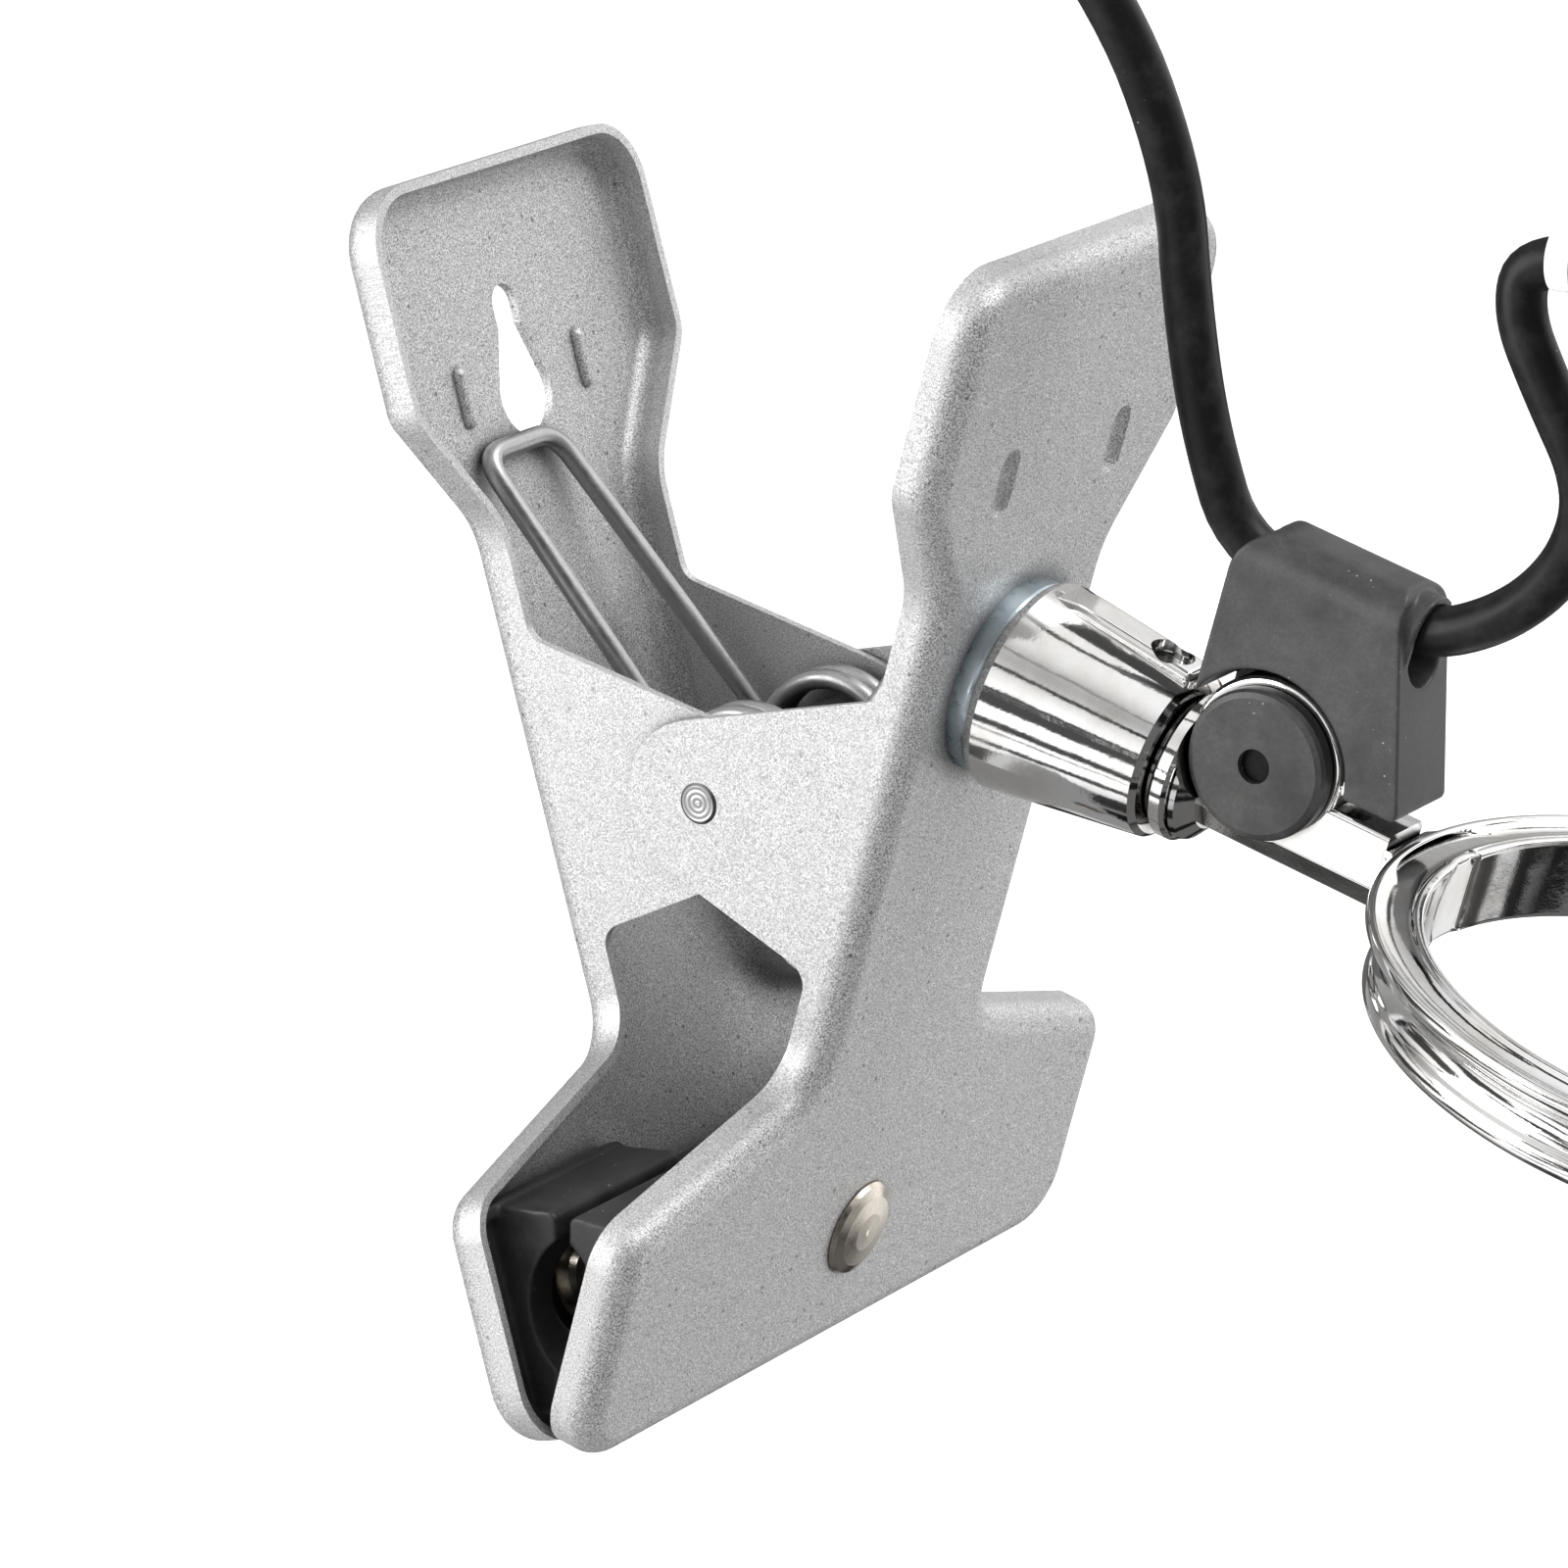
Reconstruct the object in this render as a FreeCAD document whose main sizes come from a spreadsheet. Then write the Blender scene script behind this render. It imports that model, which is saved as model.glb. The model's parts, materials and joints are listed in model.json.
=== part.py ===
import FreeCAD, Part
import math
import os
import Sketcher
from FreeCAD import Placement, Rotation, Vector

# A spring clamp with a swivelling ring arm and a cable guide, in millimetres.
# World frame: the origin is midway between the two grip pads, +Z is up along the
# clamp, +X points along the arm and Y runs along the pivot pin.
#
# Jaw frame: x leaves the jaw plate at a right angle, z runs up the plate, y is the
# pivot axis and the origin is the middle of the pivot pin. The front jaw, the swivel
# arm and everything on them are drawn in the front jaw frame; the rear jaw is drawn
# the same way in a frame turned half a turn about Z.

doc = FreeCAD.newDocument("spring_clamp")

# ---------------------------------------------------------------- driving sizes
SIZES = {
    # stance
    "jaw_tilt": 15.85,          # lean of each jaw plate from upright, degrees
    "pin_height": 50.0,         # pivot pin above the grip centre
    # pressed jaws
    "sheet": 1.0,               # steel sheet thickness
    "plate_face": 21.96,        # pivot axis to the outer face of the plate
    "rim_depth": 5.0,           # depth of the folded rim
    "bend_radius": 2.8,         # outer radius of the fold
    "handle_top": 68.2,
    "handle_half": 24.4,
    "handle_bump": 44.5,        # height at which the handle starts to narrow
    "neck_top": 31.5,
    "front_neck_half": 16.14,   # the front jaw straddles the rear jaw
    "rear_neck_half": 14.95,
    "shoulder_drop": 0.29,      # fall of the shoulder per millimetre outwards
    "shoulder_level": -27.8,    # shoulder height 30 mm out from the middle
    "grip_half": 46.8,
    "grip_bottom": -59.1,
    # pivot
    "pin_radius": 2.2,
    "pin_half": 16.35,
    "nose_radius": 8.7,         # round end of each ear
    "ear_top_rim": 19.5,        # where the ear leaves the rim, above the pin
    "ear_low_rim": -12.0,
    "running_gap": 0.05,
    "sleeve_radius": 4.6,
    "sleeve_half": 13.6,
    # torsion spring
    "wire": 2.2,
    "coil_radius": 7.3,
    "coil_pitch": 2.3,
    # pads and their rivets
    "rivet_level": -44.8,
    "outer_rivets": 30.0,       # the rear pad's two rivets, out from the middle
    "rivet_head": 5.35,
    "rivet_shank": 2.1,
    "pad_pocket": 7.5,
    "pad_top": -33.4,
    # swivel
    "swivel_level": 20.86,      # height of the swivel axis on the plate
    "seat_radius": 10.6,
    "cone_base": 11.4,
    "cone_tip": 8.8,
    "cone_start": 24.1,
    "cone_end": 43.5,
    "shaft_radius": 4.0,
    "set_screw_at": 39.5,
    # arm, eye and ring
    "bar_low": 16.0,
    "bar_high": 24.8,
    "bar_half": 3.5,
    "eye_at": 54.0,
    "eye_level": 26.3,
    "eye_radius": 8.7,
    "disc_radius": 7.8,
    "ring_at": 107.45,
    "ring_inner": 31.3,
    "ring_outer": 37.0,
    "ring_low": 15.3,
    "ring_high": 24.25,
    # cable holder and cords
    "holder_half": 5.1,
    "holder_left": 45.1,
    "holder_roof": 49.2,
    "holder_low": 26.9,
    "tunnel_level": 43.7,
    "tunnel_half_width": 3.2,
    "tunnel_half_height": 4.35,
    "cord_radius": 2.5,
    "coil_of_cord": 29.0,       # mean radius of the bundled cord
    "coil_bundle": 8.3,         # radius of the bundle of turns
}

sheet = doc.addObject("Spreadsheet::Sheet", "sizes")
for row, (alias, value) in enumerate(SIZES.items(), start=1):
    sheet.set("A%d" % row, alias)
    sheet.set("B%d" % row, str(value))
    sheet.setAlias("B%d" % row, alias)
doc.recompute()


def size(alias):
    """A driving size, read back from the sheet."""
    return float(sheet.get(alias))


def number(expression):
    """The value of an expression on the sheet, such as 'sizes.sheet * 2'."""
    value = sheet.evalExpression(str(expression))
    return float(getattr(value, "Value", value))


# ---------------------------------------------------------------- frames
tilt = size("jaw_tilt")
pin_centre = Vector(0, 0, size("pin_height"))
front_frame = Placement(pin_centre, Rotation(Vector(0, 1, 0), tilt))
rear_frame = Placement(
    pin_centre, Rotation(Vector(0, 0, 1), 180) * Rotation(Vector(0, 1, 0), tilt)
)
pin_frame = Placement(pin_centre, Rotation(Vector(0, 0, 1), Vector(0, 1, 0)))


def outwards(level, frame=front_frame):
    """A frame whose Z axis leaves the jaw plate at this height on the plate."""
    turn = Rotation(Vector(0, 0, 1), Vector(1, 0, 0))
    return frame * Placement(Vector(0, 0, level), turn)


# ---------------------------------------------------------------- building tools
def bind(piece, **expressions):
    """Bind properties of an object to the sheet."""
    for key, expression in expressions.items():
        piece.setExpression(key, str(expression))
    return piece


def cylinder(name, radius, length, start=Vector(), axis=Vector(0, 0, 1)):
    piece = doc.addObject("Part::Cylinder", name)
    bind(piece, Radius=radius, Height=length)
    piece.Placement = Placement(start, Rotation(Vector(0, 0, 1), axis))
    return piece


def box(name, length, width, height, corner=Vector(), turn=Rotation()):
    piece = doc.addObject("Part::Box", name)
    bind(piece, Length=length, Width=width, Height=height)
    piece.Placement = Placement(corner, turn)
    return piece


def fuse(name, pieces):
    joined = doc.addObject("Part::MultiFuse", name)
    joined.Shapes = pieces
    return joined


def cut(name, base, tools):
    tool = tools[0] if len(tools) == 1 else fuse(name + "_cutters", tools)
    result = doc.addObject("Part::Cut", name)
    result.Base = base
    result.Tool = tool
    return result


def origin_plane(body, role):
    for feature in body.Origin.OriginFeatures:
        if feature.Role == role:
            return feature
    raise ValueError(role)


def turned(name, profile, placement=Placement()):
    """A body turned about its Z axis. The profile lists (radius, height) corners."""
    body = doc.addObject("PartDesign::Body", name)
    sketch = body.newObject("Sketcher::SketchObject", name + "_profile")
    sketch.AttachmentSupport = (origin_plane(body, "XZ_Plane"), [""])
    sketch.MapMode = "FlatFace"
    corners = [Vector(number(r), number(z), 0) for r, z in profile]
    count = len(corners)
    for index in range(count):
        line = Part.LineSegment(corners[index], corners[(index + 1) % count])
        sketch.addGeometry(line, False)
    for index in range(count):
        link = Sketcher.Constraint("Coincident", index, 2, (index + 1) % count, 1)
        sketch.addConstraint(link)
    for index, (radius, height) in enumerate(profile):
        for kind, expression, value in (
            ("DistanceX", radius, corners[index].x),
            ("DistanceY", height, corners[index].y),
        ):
            place = sketch.addConstraint(
                Sketcher.Constraint(kind, -1, 1, index, 1, value)
            )
            sketch.setExpression("Constraints[%d]" % place, str(expression))
    turn = body.newObject("PartDesign::Revolution", name + "_turned")
    turn.Profile = sketch
    turn.ReferenceAxis = (sketch, ["V_Axis"])
    turn.Angle = 360
    sketch.Visibility = False
    body.Placement = placement
    return body


def shaped(name, shape, placement=Placement()):
    """An object whose shape comes from Part functions."""
    piece = doc.addObject("Part::Feature", name)
    piece.Shape = shape
    piece.Placement = placement
    return piece


def rounded(corners, across):
    """A closed face from (a, b, corner radius) points.

    across places a point (a, b) in space, so the same tool draws in any plane.
    """
    edges = []
    starts, ends, middles = [], [], []
    count = len(corners)
    for index in range(count):
        a, b, radius = corners[index]
        here = Vector(a, b, 0)
        before = Vector(*corners[index - 1][:2], 0) - here
        after = Vector(*corners[(index + 1) % count][:2], 0) - here
        before.normalize()
        after.normalize()
        half = before.getAngle(after) / 2
        if radius <= 0:
            starts.append(here)
            ends.append(here)
            middles.append(None)
            continue
        reach = radius / math.tan(half)
        bisector = before + after
        bisector.normalize()
        centre = here + bisector * (radius / math.sin(half))
        starts.append(here + before * reach)
        ends.append(here + after * reach)
        middles.append(centre - bisector * radius)
    for index in range(count):
        if middles[index] is not None:
            arc = Part.Arc(
                across(starts[index]), across(middles[index]), across(ends[index])
            )
            edges.append(arc.toShape())
        following = starts[(index + 1) % count]
        if (following - ends[index]).Length > 1e-6:
            edges.append(
                Part.LineSegment(across(ends[index]), across(following)).toShape()
            )
    return Part.Face(Part.Wire(edges))


def on_plate(at):
    """Draws in a plane parallel to the jaw plate: a is across, b is up."""
    return lambda point: Vector(at, point.x, point.y)


def on_side(at):
    """Draws in a plane across the pivot axis: a leaves the plate, b is up."""
    return lambda point: Vector(point.x, at, point.y)


def meeting(first, second):
    """Where two lines cross; each is given by two (a, b) points."""
    (x1, y1), (x2, y2) = first
    (x3, y3), (x4, y4) = second
    d = (x1 - x2) * (y3 - y4) - (y1 - y2) * (x3 - x4)
    p = x1 * y2 - y1 * x2
    q = x3 * y4 - y3 * x4
    return ((p * (x3 - x4) - (x1 - x2) * q) / d, (p * (y3 - y4) - (y1 - y2) * q) / d)


def touching(point, radius, side):
    """Where a line from a point touches a circle about the origin."""
    distance = math.hypot(*point)
    angle = math.atan2(point[1], point[0]) + side * math.acos(radius / distance)
    return (radius * math.cos(angle), radius * math.sin(angle))


# ---------------------------------------------------------------- pressed jaws
plate_face = size("plate_face")
steel = size("sheet")
rim_depth = size("rim_depth")
rim = plate_face - rim_depth
plate_back = plate_face - steel
grip_half = size("grip_half")
grip_bottom = size("grip_bottom")


def shoulder(across):
    """Height of the sloping shoulder at a distance out from the middle."""
    return size("shoulder_level") - size("shoulder_drop") * (across - 30.0)


def jaw_outline(neck_half):
    """Outline of a jaw plate, as (across, up, corner radius), one side mirrored."""
    right = [
        (grip_half, grip_bottom, 7.0),
        (grip_half, shoulder(grip_half), 5.0),
        (neck_half, shoulder(neck_half), 6.0),
        (neck_half, size("neck_top"), 8.0),
        (size("handle_half") + 0.2, size("handle_bump"), 4.0),
        (size("handle_half"), size("handle_top"), 7.0),
    ]
    left = [(-across, up, radius) for across, up, radius in reversed(right)]
    return right + left


def pressing(outline, grow, near, far, bend):
    """A block with the jaw outline, its edges on the far face rounded by the bend."""
    face = rounded(outline, on_plate(near))
    if grow:
        face = face.makeOffset2D(grow)
    block = face.extrude(Vector(far - near, 0, 0))
    edges = [
        edge
        for edge in block.Edges
        if all(abs(vertex.X - far) < 1e-6 for vertex in edge.Vertexes)
    ]
    return block.makeFillet(bend, edges)


def ear_outline():
    """Side view of one ear: it leaves the rim and ends in the round nose."""
    nose = size("nose_radius")
    top = (rim, size("ear_top_rim"))
    low = (rim, size("ear_low_rim"))
    tip = meeting((top, touching(top, nose, 1)), (low, touching(low, nose, -1)))
    inside = rim + 2.0
    return [
        (inside, top[1] + 6.0, 0),
        (rim, top[1] + 6.0, 0),
        (rim, top[1], 2.5),
        (tip[0], tip[1], nose),
        (rim, low[1], 2.5),
        (rim, low[1] - 6.0, 0),
        (inside, low[1] - 6.0, 0),
    ]


def capsule(radius, x, across, low, high):
    """A rod with round ends, standing on the plate at this distance across."""
    start = Vector(x, across, low)
    rod = Part.makeCylinder(radius, high - low, start, Vector(0, 0, 1))
    ends = [Part.makeSphere(radius, start), Part.makeSphere(radius, Vector(x, across, high))]
    return rod.fuse(ends)


def jaw(neck_half, pin_hole, rivets):
    """A pressed jaw: tray, ears, stiffening ribs, pin holes and rivet holes."""
    outline = jaw_outline(neck_half)
    bend = size("bend_radius")
    outer = pressing(outline, 0, rim, plate_face, bend)
    inner = pressing(outline, -steel, rim - 1.0, plate_back, bend - steel)
    body = outer.cut(inner)
    for side in (-1, 1):
        start = side * neck_half if side < 0 else neck_half - steel
        ear = rounded(ear_outline(), on_side(start)).extrude(Vector(0, steel, 0))
        body = body.fuse(ear)
    for across in (-10.8, 10.8):
        body = body.fuse(capsule(0.9, plate_back, across, 42.4, 47.2))
        body = body.cut(capsule(2.2, plate_face + 1.3, across, 42.8, 46.8))
    holes = Part.makeCylinder(
        pin_hole, 4 * neck_half, Vector(0, -2 * neck_half, 0), Vector(0, 1, 0)
    )
    drilled = [holes]
    for across in rivets:
        start = Vector(rim, across, size("rivet_level"))
        drilled.append(
            Part.makeCylinder(size("rivet_shank"), 10, start, Vector(1, 0, 0))
        )
    return body.cut(drilled).removeSplitter()


def keyhole():
    """The hanging slot: a round hole, a neck that flares into it and a round top."""
    low, high = 43.2, 52.8
    through = Vector(8, 0, 0)
    start = plate_back - 4.0
    hole = Part.makeCylinder(4.5, 8, Vector(start, 0, low), Vector(1, 0, 0))
    top = Part.makeCylinder(2.1, 8, Vector(start, 0, high), Vector(1, 0, 0))
    slot = Part.makeBox(8, 4.2, high - low, Vector(start, -2.1, low))
    flare = [(-3.9, 45.6, 0), (3.9, 45.6, 0), (2.1, 50.4, 0), (-2.1, 50.4, 0)]
    wedge = rounded(flare, on_plate(start)).extrude(through)
    return hole.fuse([top, slot, wedge])


pin_radius = size("pin_radius")
swivel_level = size("swivel_level")
front_rivets = [0.0]
rear_rivets = [-size("outer_rivets"), size("outer_rivets")]
front_shape = jaw(size("front_neck_half"), pin_radius, front_rivets)
screw_hole = Part.makeCylinder(
    2.6, 10, Vector(rim, 0, swivel_level), Vector(1, 0, 0)
)
front_jaw = shaped("front_jaw", front_shape.cut(screw_hole), front_frame)
rear_shape = jaw(
    size("rear_neck_half"), pin_radius + size("running_gap"), rear_rivets
)
rear_jaw = shaped("rear_jaw", rear_shape.cut(keyhole()), rear_frame)

# ---------------------------------------------------------------- pivot
pivot_pin = turned(
    "pivot_pin",
    [
        (0, "-sizes.pin_half"),
        ("sizes.pin_radius - 0.35", "-sizes.pin_half"),
        ("sizes.pin_radius", "-sizes.pin_half + 0.25"),
        ("sizes.pin_radius", "sizes.pin_half - 0.25"),
        ("sizes.pin_radius - 0.35", "sizes.pin_half"),
        (0, "sizes.pin_half"),
    ],
    pin_frame,
)
spacer_sleeve = turned(
    "spacer_sleeve",
    [
        ("sizes.pin_radius + 0.1", "-sizes.sleeve_half"),
        ("sizes.sleeve_radius", "-sizes.sleeve_half"),
        ("sizes.sleeve_radius", "sizes.sleeve_half"),
        ("sizes.pin_radius + 0.1", "sizes.sleeve_half"),
    ],
    pin_frame,
)


def swept(name, points, radius):
    """Round wire or cord: straight runs joined by tangent arcs."""
    points = [Vector(*point) for point in points]
    edges = []
    place = points[0]
    for index in range(1, len(points) - 1):
        here = points[index]
        back_way = points[index - 1] - here
        on_way = points[index + 1] - here
        reach = 0.45 * min(back_way.Length, on_way.Length)
        back_way.normalize()
        on_way.normalize()
        turn = math.pi - back_way.getAngle(on_way)
        bend = reach / math.tan(turn / 2)
        start = here + back_way * reach
        end = here + on_way * reach
        bisector = back_way + on_way
        bisector.normalize()
        middle = here + bisector * (math.hypot(reach, bend) - bend)
        edges.append(Part.LineSegment(place, start).toShape())
        edges.append(Part.Arc(start, middle, end).toShape())
        place = end
        print("%s turn %d: radius %.1f mm, %.0f degrees" % (
            name, index, bend, math.degrees(turn)))
    edges.append(Part.LineSegment(place, points[-1]).toShape())
    path = Part.Wire(edges)
    circle = Part.makeCircle(radius, points[0], points[1] - points[0])
    solid = path.makePipeShell([Part.Wire([circle])], True, True)
    ideal = math.pi * radius ** 2 * path.Length
    print("%s: length %.1f mm, volume off by %.2f %%" % (
        name, path.Length, 100 * (solid.Volume / ideal - 1)))
    return solid


# ---------------------------------------------------------------- torsion spring
wire_radius = size("wire") / 2
coil_radius = size("coil_radius")


def leaving_angle(point, side):
    """Angle about the pin, from +X towards +Z, at which straight wire meets the coil."""
    across, up = point.x, point.z - pin_centre.z
    reach = math.acos(coil_radius / math.hypot(across, up))
    return math.degrees(math.atan2(up, across) + side * reach)


def on_coil(angle, y):
    """A point on the coil's centre line."""
    turn = math.radians(angle)
    return pin_centre + Vector(
        coil_radius * math.cos(turn), y, coil_radius * math.sin(turn)
    )


def coil_sleeve(start_y, end_y):
    """The tightly wound turns as one plain hollow cylinder."""
    wall = wire_radius + 0.1
    start = pin_centre + Vector(0, start_y - wall, 0)
    length = end_y - start_y + 2 * wall
    along = Vector(0, 1, 0)
    outer = Part.makeCylinder(coil_radius + wall, length, start, along)
    return outer.cut(Part.makeCylinder(coil_radius - wall, length, start, along))


wire_line = plate_back - wire_radius - 0.05
loop_level = 38.8
hook_radius = 2.6


def on_rear(y, up):
    """A point of the wire lying against the inside of the rear plate."""
    return rear_frame.multVec(Vector(wire_line, -y, up))


def spring():
    """Two coils side by side. Their legs end at the front plate, and a crossbar
    behind the rear handle joins the other two."""
    near_leg, far_leg = -11.4, 2.8
    near_outer, near_inner, far_inner, far_outer = -9.0, -3.8, 7.4, 12.6
    tip = front_frame.multVec(Vector(wire_line, 0, 34.0))
    rear_angle = leaving_angle(on_rear(0, loop_level), 1)
    front_angle = leaving_angle(tip, -1)
    wire = coil_sleeve(near_outer, near_inner)
    wire = wire.fuse(coil_sleeve(far_inner, far_outer))
    for across in (near_outer, far_inner):
        start = on_coil(front_angle, across)
        reach = Vector(tip.x, across, tip.z) - start
        wire = wire.fuse(Part.makeCylinder(wire_radius, reach.Length, start, reach))
    hairpin = [
        on_coil(rear_angle, near_inner),
        on_rear(near_leg, loop_level - hook_radius),
        on_rear(near_leg + hook_radius, loop_level),
        on_rear(far_leg - hook_radius, loop_level),
        on_rear(far_leg, loop_level - hook_radius),
        on_coil(rear_angle, far_outer),
    ]
    return wire.fuse(swept("torsion_spring", hairpin, wire_radius))


torsion_spring = shaped("torsion_spring", spring())

# ---------------------------------------------------------------- grip pads
pad_floor = 1.6
pad_gap = 0.15
washer_thickness = 0.8


def pad(rivets):
    """A rubber pad that fills the grip tray. Its two raised blocks have a groove
    for round bars along the pin's direction, and a round pocket each."""
    side = grip_half - steel - pad_gap
    low = grip_bottom + steel + pad_gap
    right = [(side, low, 5.6), (side, size("pad_top"), 2.0)]
    outline = right + [(-across, up, radius) for across, up, radius in reversed(right)]
    body = pressing(outline, 0, rim + 0.9, plate_back, 2.0)
    hollow = rounded(outline, on_plate(rim - 1.0)).makeOffset2D(-1.6)
    body = body.cut(hollow.extrude(Vector(plate_back - pad_floor - rim + 1.0, 0, 0)))

    lean = math.radians(tilt)

    def grip_plane(up):
        """The gripping face is upright in the world, just short of the middle."""
        return (0.5 - up * math.sin(lean)) / math.cos(lean)

    profile = [
        (plate_back - 1.0, size("pad_top") - 0.1, 0),
        (grip_plane(-35.2) + 0.3, -35.2, 1.0),
        (grip_plane(-55.0), -55.0, 0.8),
        (grip_plane(-55.0) + 2.0, -56.6, 0.8),
        (plate_back - 1.0, -56.6, 0),
    ]
    level = size("rivet_level")
    inner_end, outer_end = 19.0, grip_half - 5.0
    groove = Part.makeCylinder(
        9.0, 4 * grip_half, Vector(8.1, -2 * grip_half, -46.4), Vector(0, 1, 0)
    )
    for side in (-1, 1):
        start = inner_end if side > 0 else -outer_end
        block = rounded(profile, on_side(start))
        block = block.extrude(Vector(0, outer_end - inner_end, 0)).cut(groove)
        pocket = Part.makeCylinder(
            size("pad_pocket"),
            plate_back - pad_floor,
            Vector(0, side * size("outer_rivets"), level),
            Vector(1, 0, 0),
        )
        body = body.fuse(block.cut(pocket))
    for across in rivets:
        start = Vector(0, across, level)
        body = body.cut(
            Part.makeCylinder(size("rivet_shank"), 40, start, Vector(1, 0, 0))
        )
    return body.removeSplitter()


front_pad = shaped("front_pad", pad(front_rivets), front_frame)
rear_pad = shaped("rear_pad", pad(rear_rivets), rear_frame)

floor_face = "sizes.plate_face - sizes.sheet - %g" % pad_floor
upset_face = "sizes.plate_face - sizes.sheet - %g" % (pad_floor + washer_thickness)
RIVET = [
    (0, upset_face + " - 1.2"),
    ("sizes.rivet_shank + 0.6", upset_face + " - 1.2"),
    ("sizes.rivet_shank + 1.2", upset_face + " - 0.7"),
    ("sizes.rivet_shank + 1.2", upset_face),
    ("sizes.rivet_shank", upset_face),
    ("sizes.rivet_shank", "sizes.plate_face"),
    ("sizes.rivet_head - 0.1", "sizes.plate_face"),
    ("sizes.rivet_head", "sizes.plate_face + 0.25"),
    ("sizes.rivet_head - 0.3", "sizes.plate_face + 0.7"),
    ("sizes.rivet_head * 0.75", "sizes.plate_face + 1.15"),
    ("sizes.rivet_head * 0.4", "sizes.plate_face + 1.42"),
    (0, "sizes.plate_face + 1.5"),
]
RIVET_WASHER = [
    ("sizes.rivet_shank", upset_face),
    ("sizes.rivet_shank + 2.5", upset_face),
    ("sizes.rivet_shank + 2.5", floor_face),
    ("sizes.rivet_shank", floor_face),
]


def riveted(name, profile, frame, places):
    """Rivets or washers of one jaw, as one group of separate solids."""
    level = size("rivet_level")
    if len(places) == 1:
        return turned(name, profile, outwards(level, frame))
    master = turned(name + "_master", profile, outwards(level, Placement()))
    copies = []
    for place in places:
        copy = doc.addObject("Part::Feature", "%s_%d" % (name, len(copies) + 1))
        doc.recompute()
        copy.Shape = master.Shape.translated(Vector(0, place, 0))
        copies.append(copy)
    group = doc.addObject("Part::Compound", name)
    group.Links = copies
    group.Placement = frame
    return group


riveted("front_pad_rivet", RIVET, front_frame, front_rivets)
riveted("front_rivet_washer", RIVET_WASHER, front_frame, front_rivets)
riveted("rear_pad_rivets", RIVET, rear_frame, rear_rivets)
riveted("rear_rivet_washers", RIVET_WASHER, rear_frame, rear_rivets)

# ---------------------------------------------------------------- swivel joint
swivel_frame = outwards(swivel_level)
back = "sizes.plate_face - sizes.sheet"


def hexagon(across_flats, depth, centre, axis):
    """A hexagonal prism, for sockets and nuts."""
    corners = []
    for index in range(7):
        turn = math.radians(60 * index)
        reach = across_flats / math.sqrt(3)
        corners.append(Vector(reach * math.cos(turn), reach * math.sin(turn), 0))
    prism = Part.Face(Part.makePolygon(corners)).extrude(Vector(0, 0, depth))
    prism.Placement = Placement(centre, Rotation(Vector(0, 0, 1), axis))
    return prism


turned(
    "seat_washer",
    [
        (2.6, "sizes.plate_face"),
        ("sizes.seat_radius", "sizes.plate_face"),
        ("sizes.seat_radius", "sizes.cone_start - 0.3"),
        ("sizes.seat_radius - 0.3", "sizes.cone_start"),
        (2.6, "sizes.cone_start"),
    ],
    swivel_frame,
)
turned(
    "lock_washer",
    [
        (2.6, back + " - 0.8"),
        (4.6, back + " - 0.8"),
        (4.6, back),
        (2.6, back),
    ],
    swivel_frame,
)
screw_blank = turned(
    "cone_screw_blank",
    [
        (0, back + " - 3.8"),
        (4.0, back + " - 3.8"),
        (4.4, back + " - 3.4"),
        (4.4, back + " - 0.8"),
        (2.5, back + " - 0.8"),
        (2.5, "sizes.cone_start + 6.4"),
        (2.0, "sizes.cone_start + 6.9"),
        (0, "sizes.cone_start + 6.9"),
    ],
)
socket = shaped(
    "cone_screw_socket", hexagon(3.0, 3.0, Vector(0, 0, number(back) - 4.5), Vector(0, 0, 1))
)
cone_screw = cut("cone_screw", screw_blank, [socket])
cone_screw.Placement = swivel_frame

bore_floor = size("cone_end") - 10.5
cone_blank = turned(
    "cone_blank",
    [
        (2.5, "sizes.cone_start"),
        ("sizes.cone_base - 1.1", "sizes.cone_start"),
        ("sizes.cone_base - 0.35", "sizes.cone_start + 0.4"),
        ("sizes.cone_base", "sizes.cone_start + 1.3"),
        ("sizes.cone_tip + 0.1", "sizes.cone_end - 0.6"),
        ("sizes.cone_tip - 0.5", "sizes.cone_end"),
        ("sizes.shaft_radius + 1.0", "sizes.cone_end"),
        ("sizes.shaft_radius + 1.0", "sizes.cone_end - 10.5"),
        (0, "sizes.cone_end - 10.5"),
        (0, "sizes.cone_start + 7.2"),
        (2.5, "sizes.cone_start + 7.2"),
    ],
)
screw_at = size("set_screw_at")
ridge_face = rounded(
    [
        (size("cone_start") + 2.4, 7.5, 0),
        (size("cone_start") + 2.4, 11.2, 0),
        (size("cone_start") + 5.0, 11.45, 2.0),
        (size("cone_end") - 0.1, 9.8, 1.0),
        (size("cone_end") - 0.1, 7.5, 0),
    ],
    lambda point: Vector(-point.y, -2.5, point.x),
)
ridge_block = ridge_face.extrude(Vector(0, 5.0, 0))
ridge_edges = [
    edge
    for edge in ridge_block.Edges
    if all(vertex.X < -9.5 for vertex in edge.Vertexes)
    and abs(edge.Vertexes[0].Y - edge.Vertexes[-1].Y) < 1e-6
]
ridge = shaped("cone_ridge", ridge_block.makeFillet(0.9, ridge_edges))
cone_core = fuse("cone_core", [cone_blank, ridge])
set_screw_bore = cylinder(
    "set_screw_bore", 2.0, 12, Vector(-4.5, 0, screw_at), Vector(-1, 0, 0)
)
set_screw_mouth = cylinder(
    "set_screw_mouth", 2.35, 12, Vector(-9.0, 0, screw_at), Vector(-1, 0, 0)
)
swivel_cone = cut("swivel_cone", cone_core, [set_screw_bore, set_screw_mouth])
swivel_cone.Placement = swivel_frame

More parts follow.
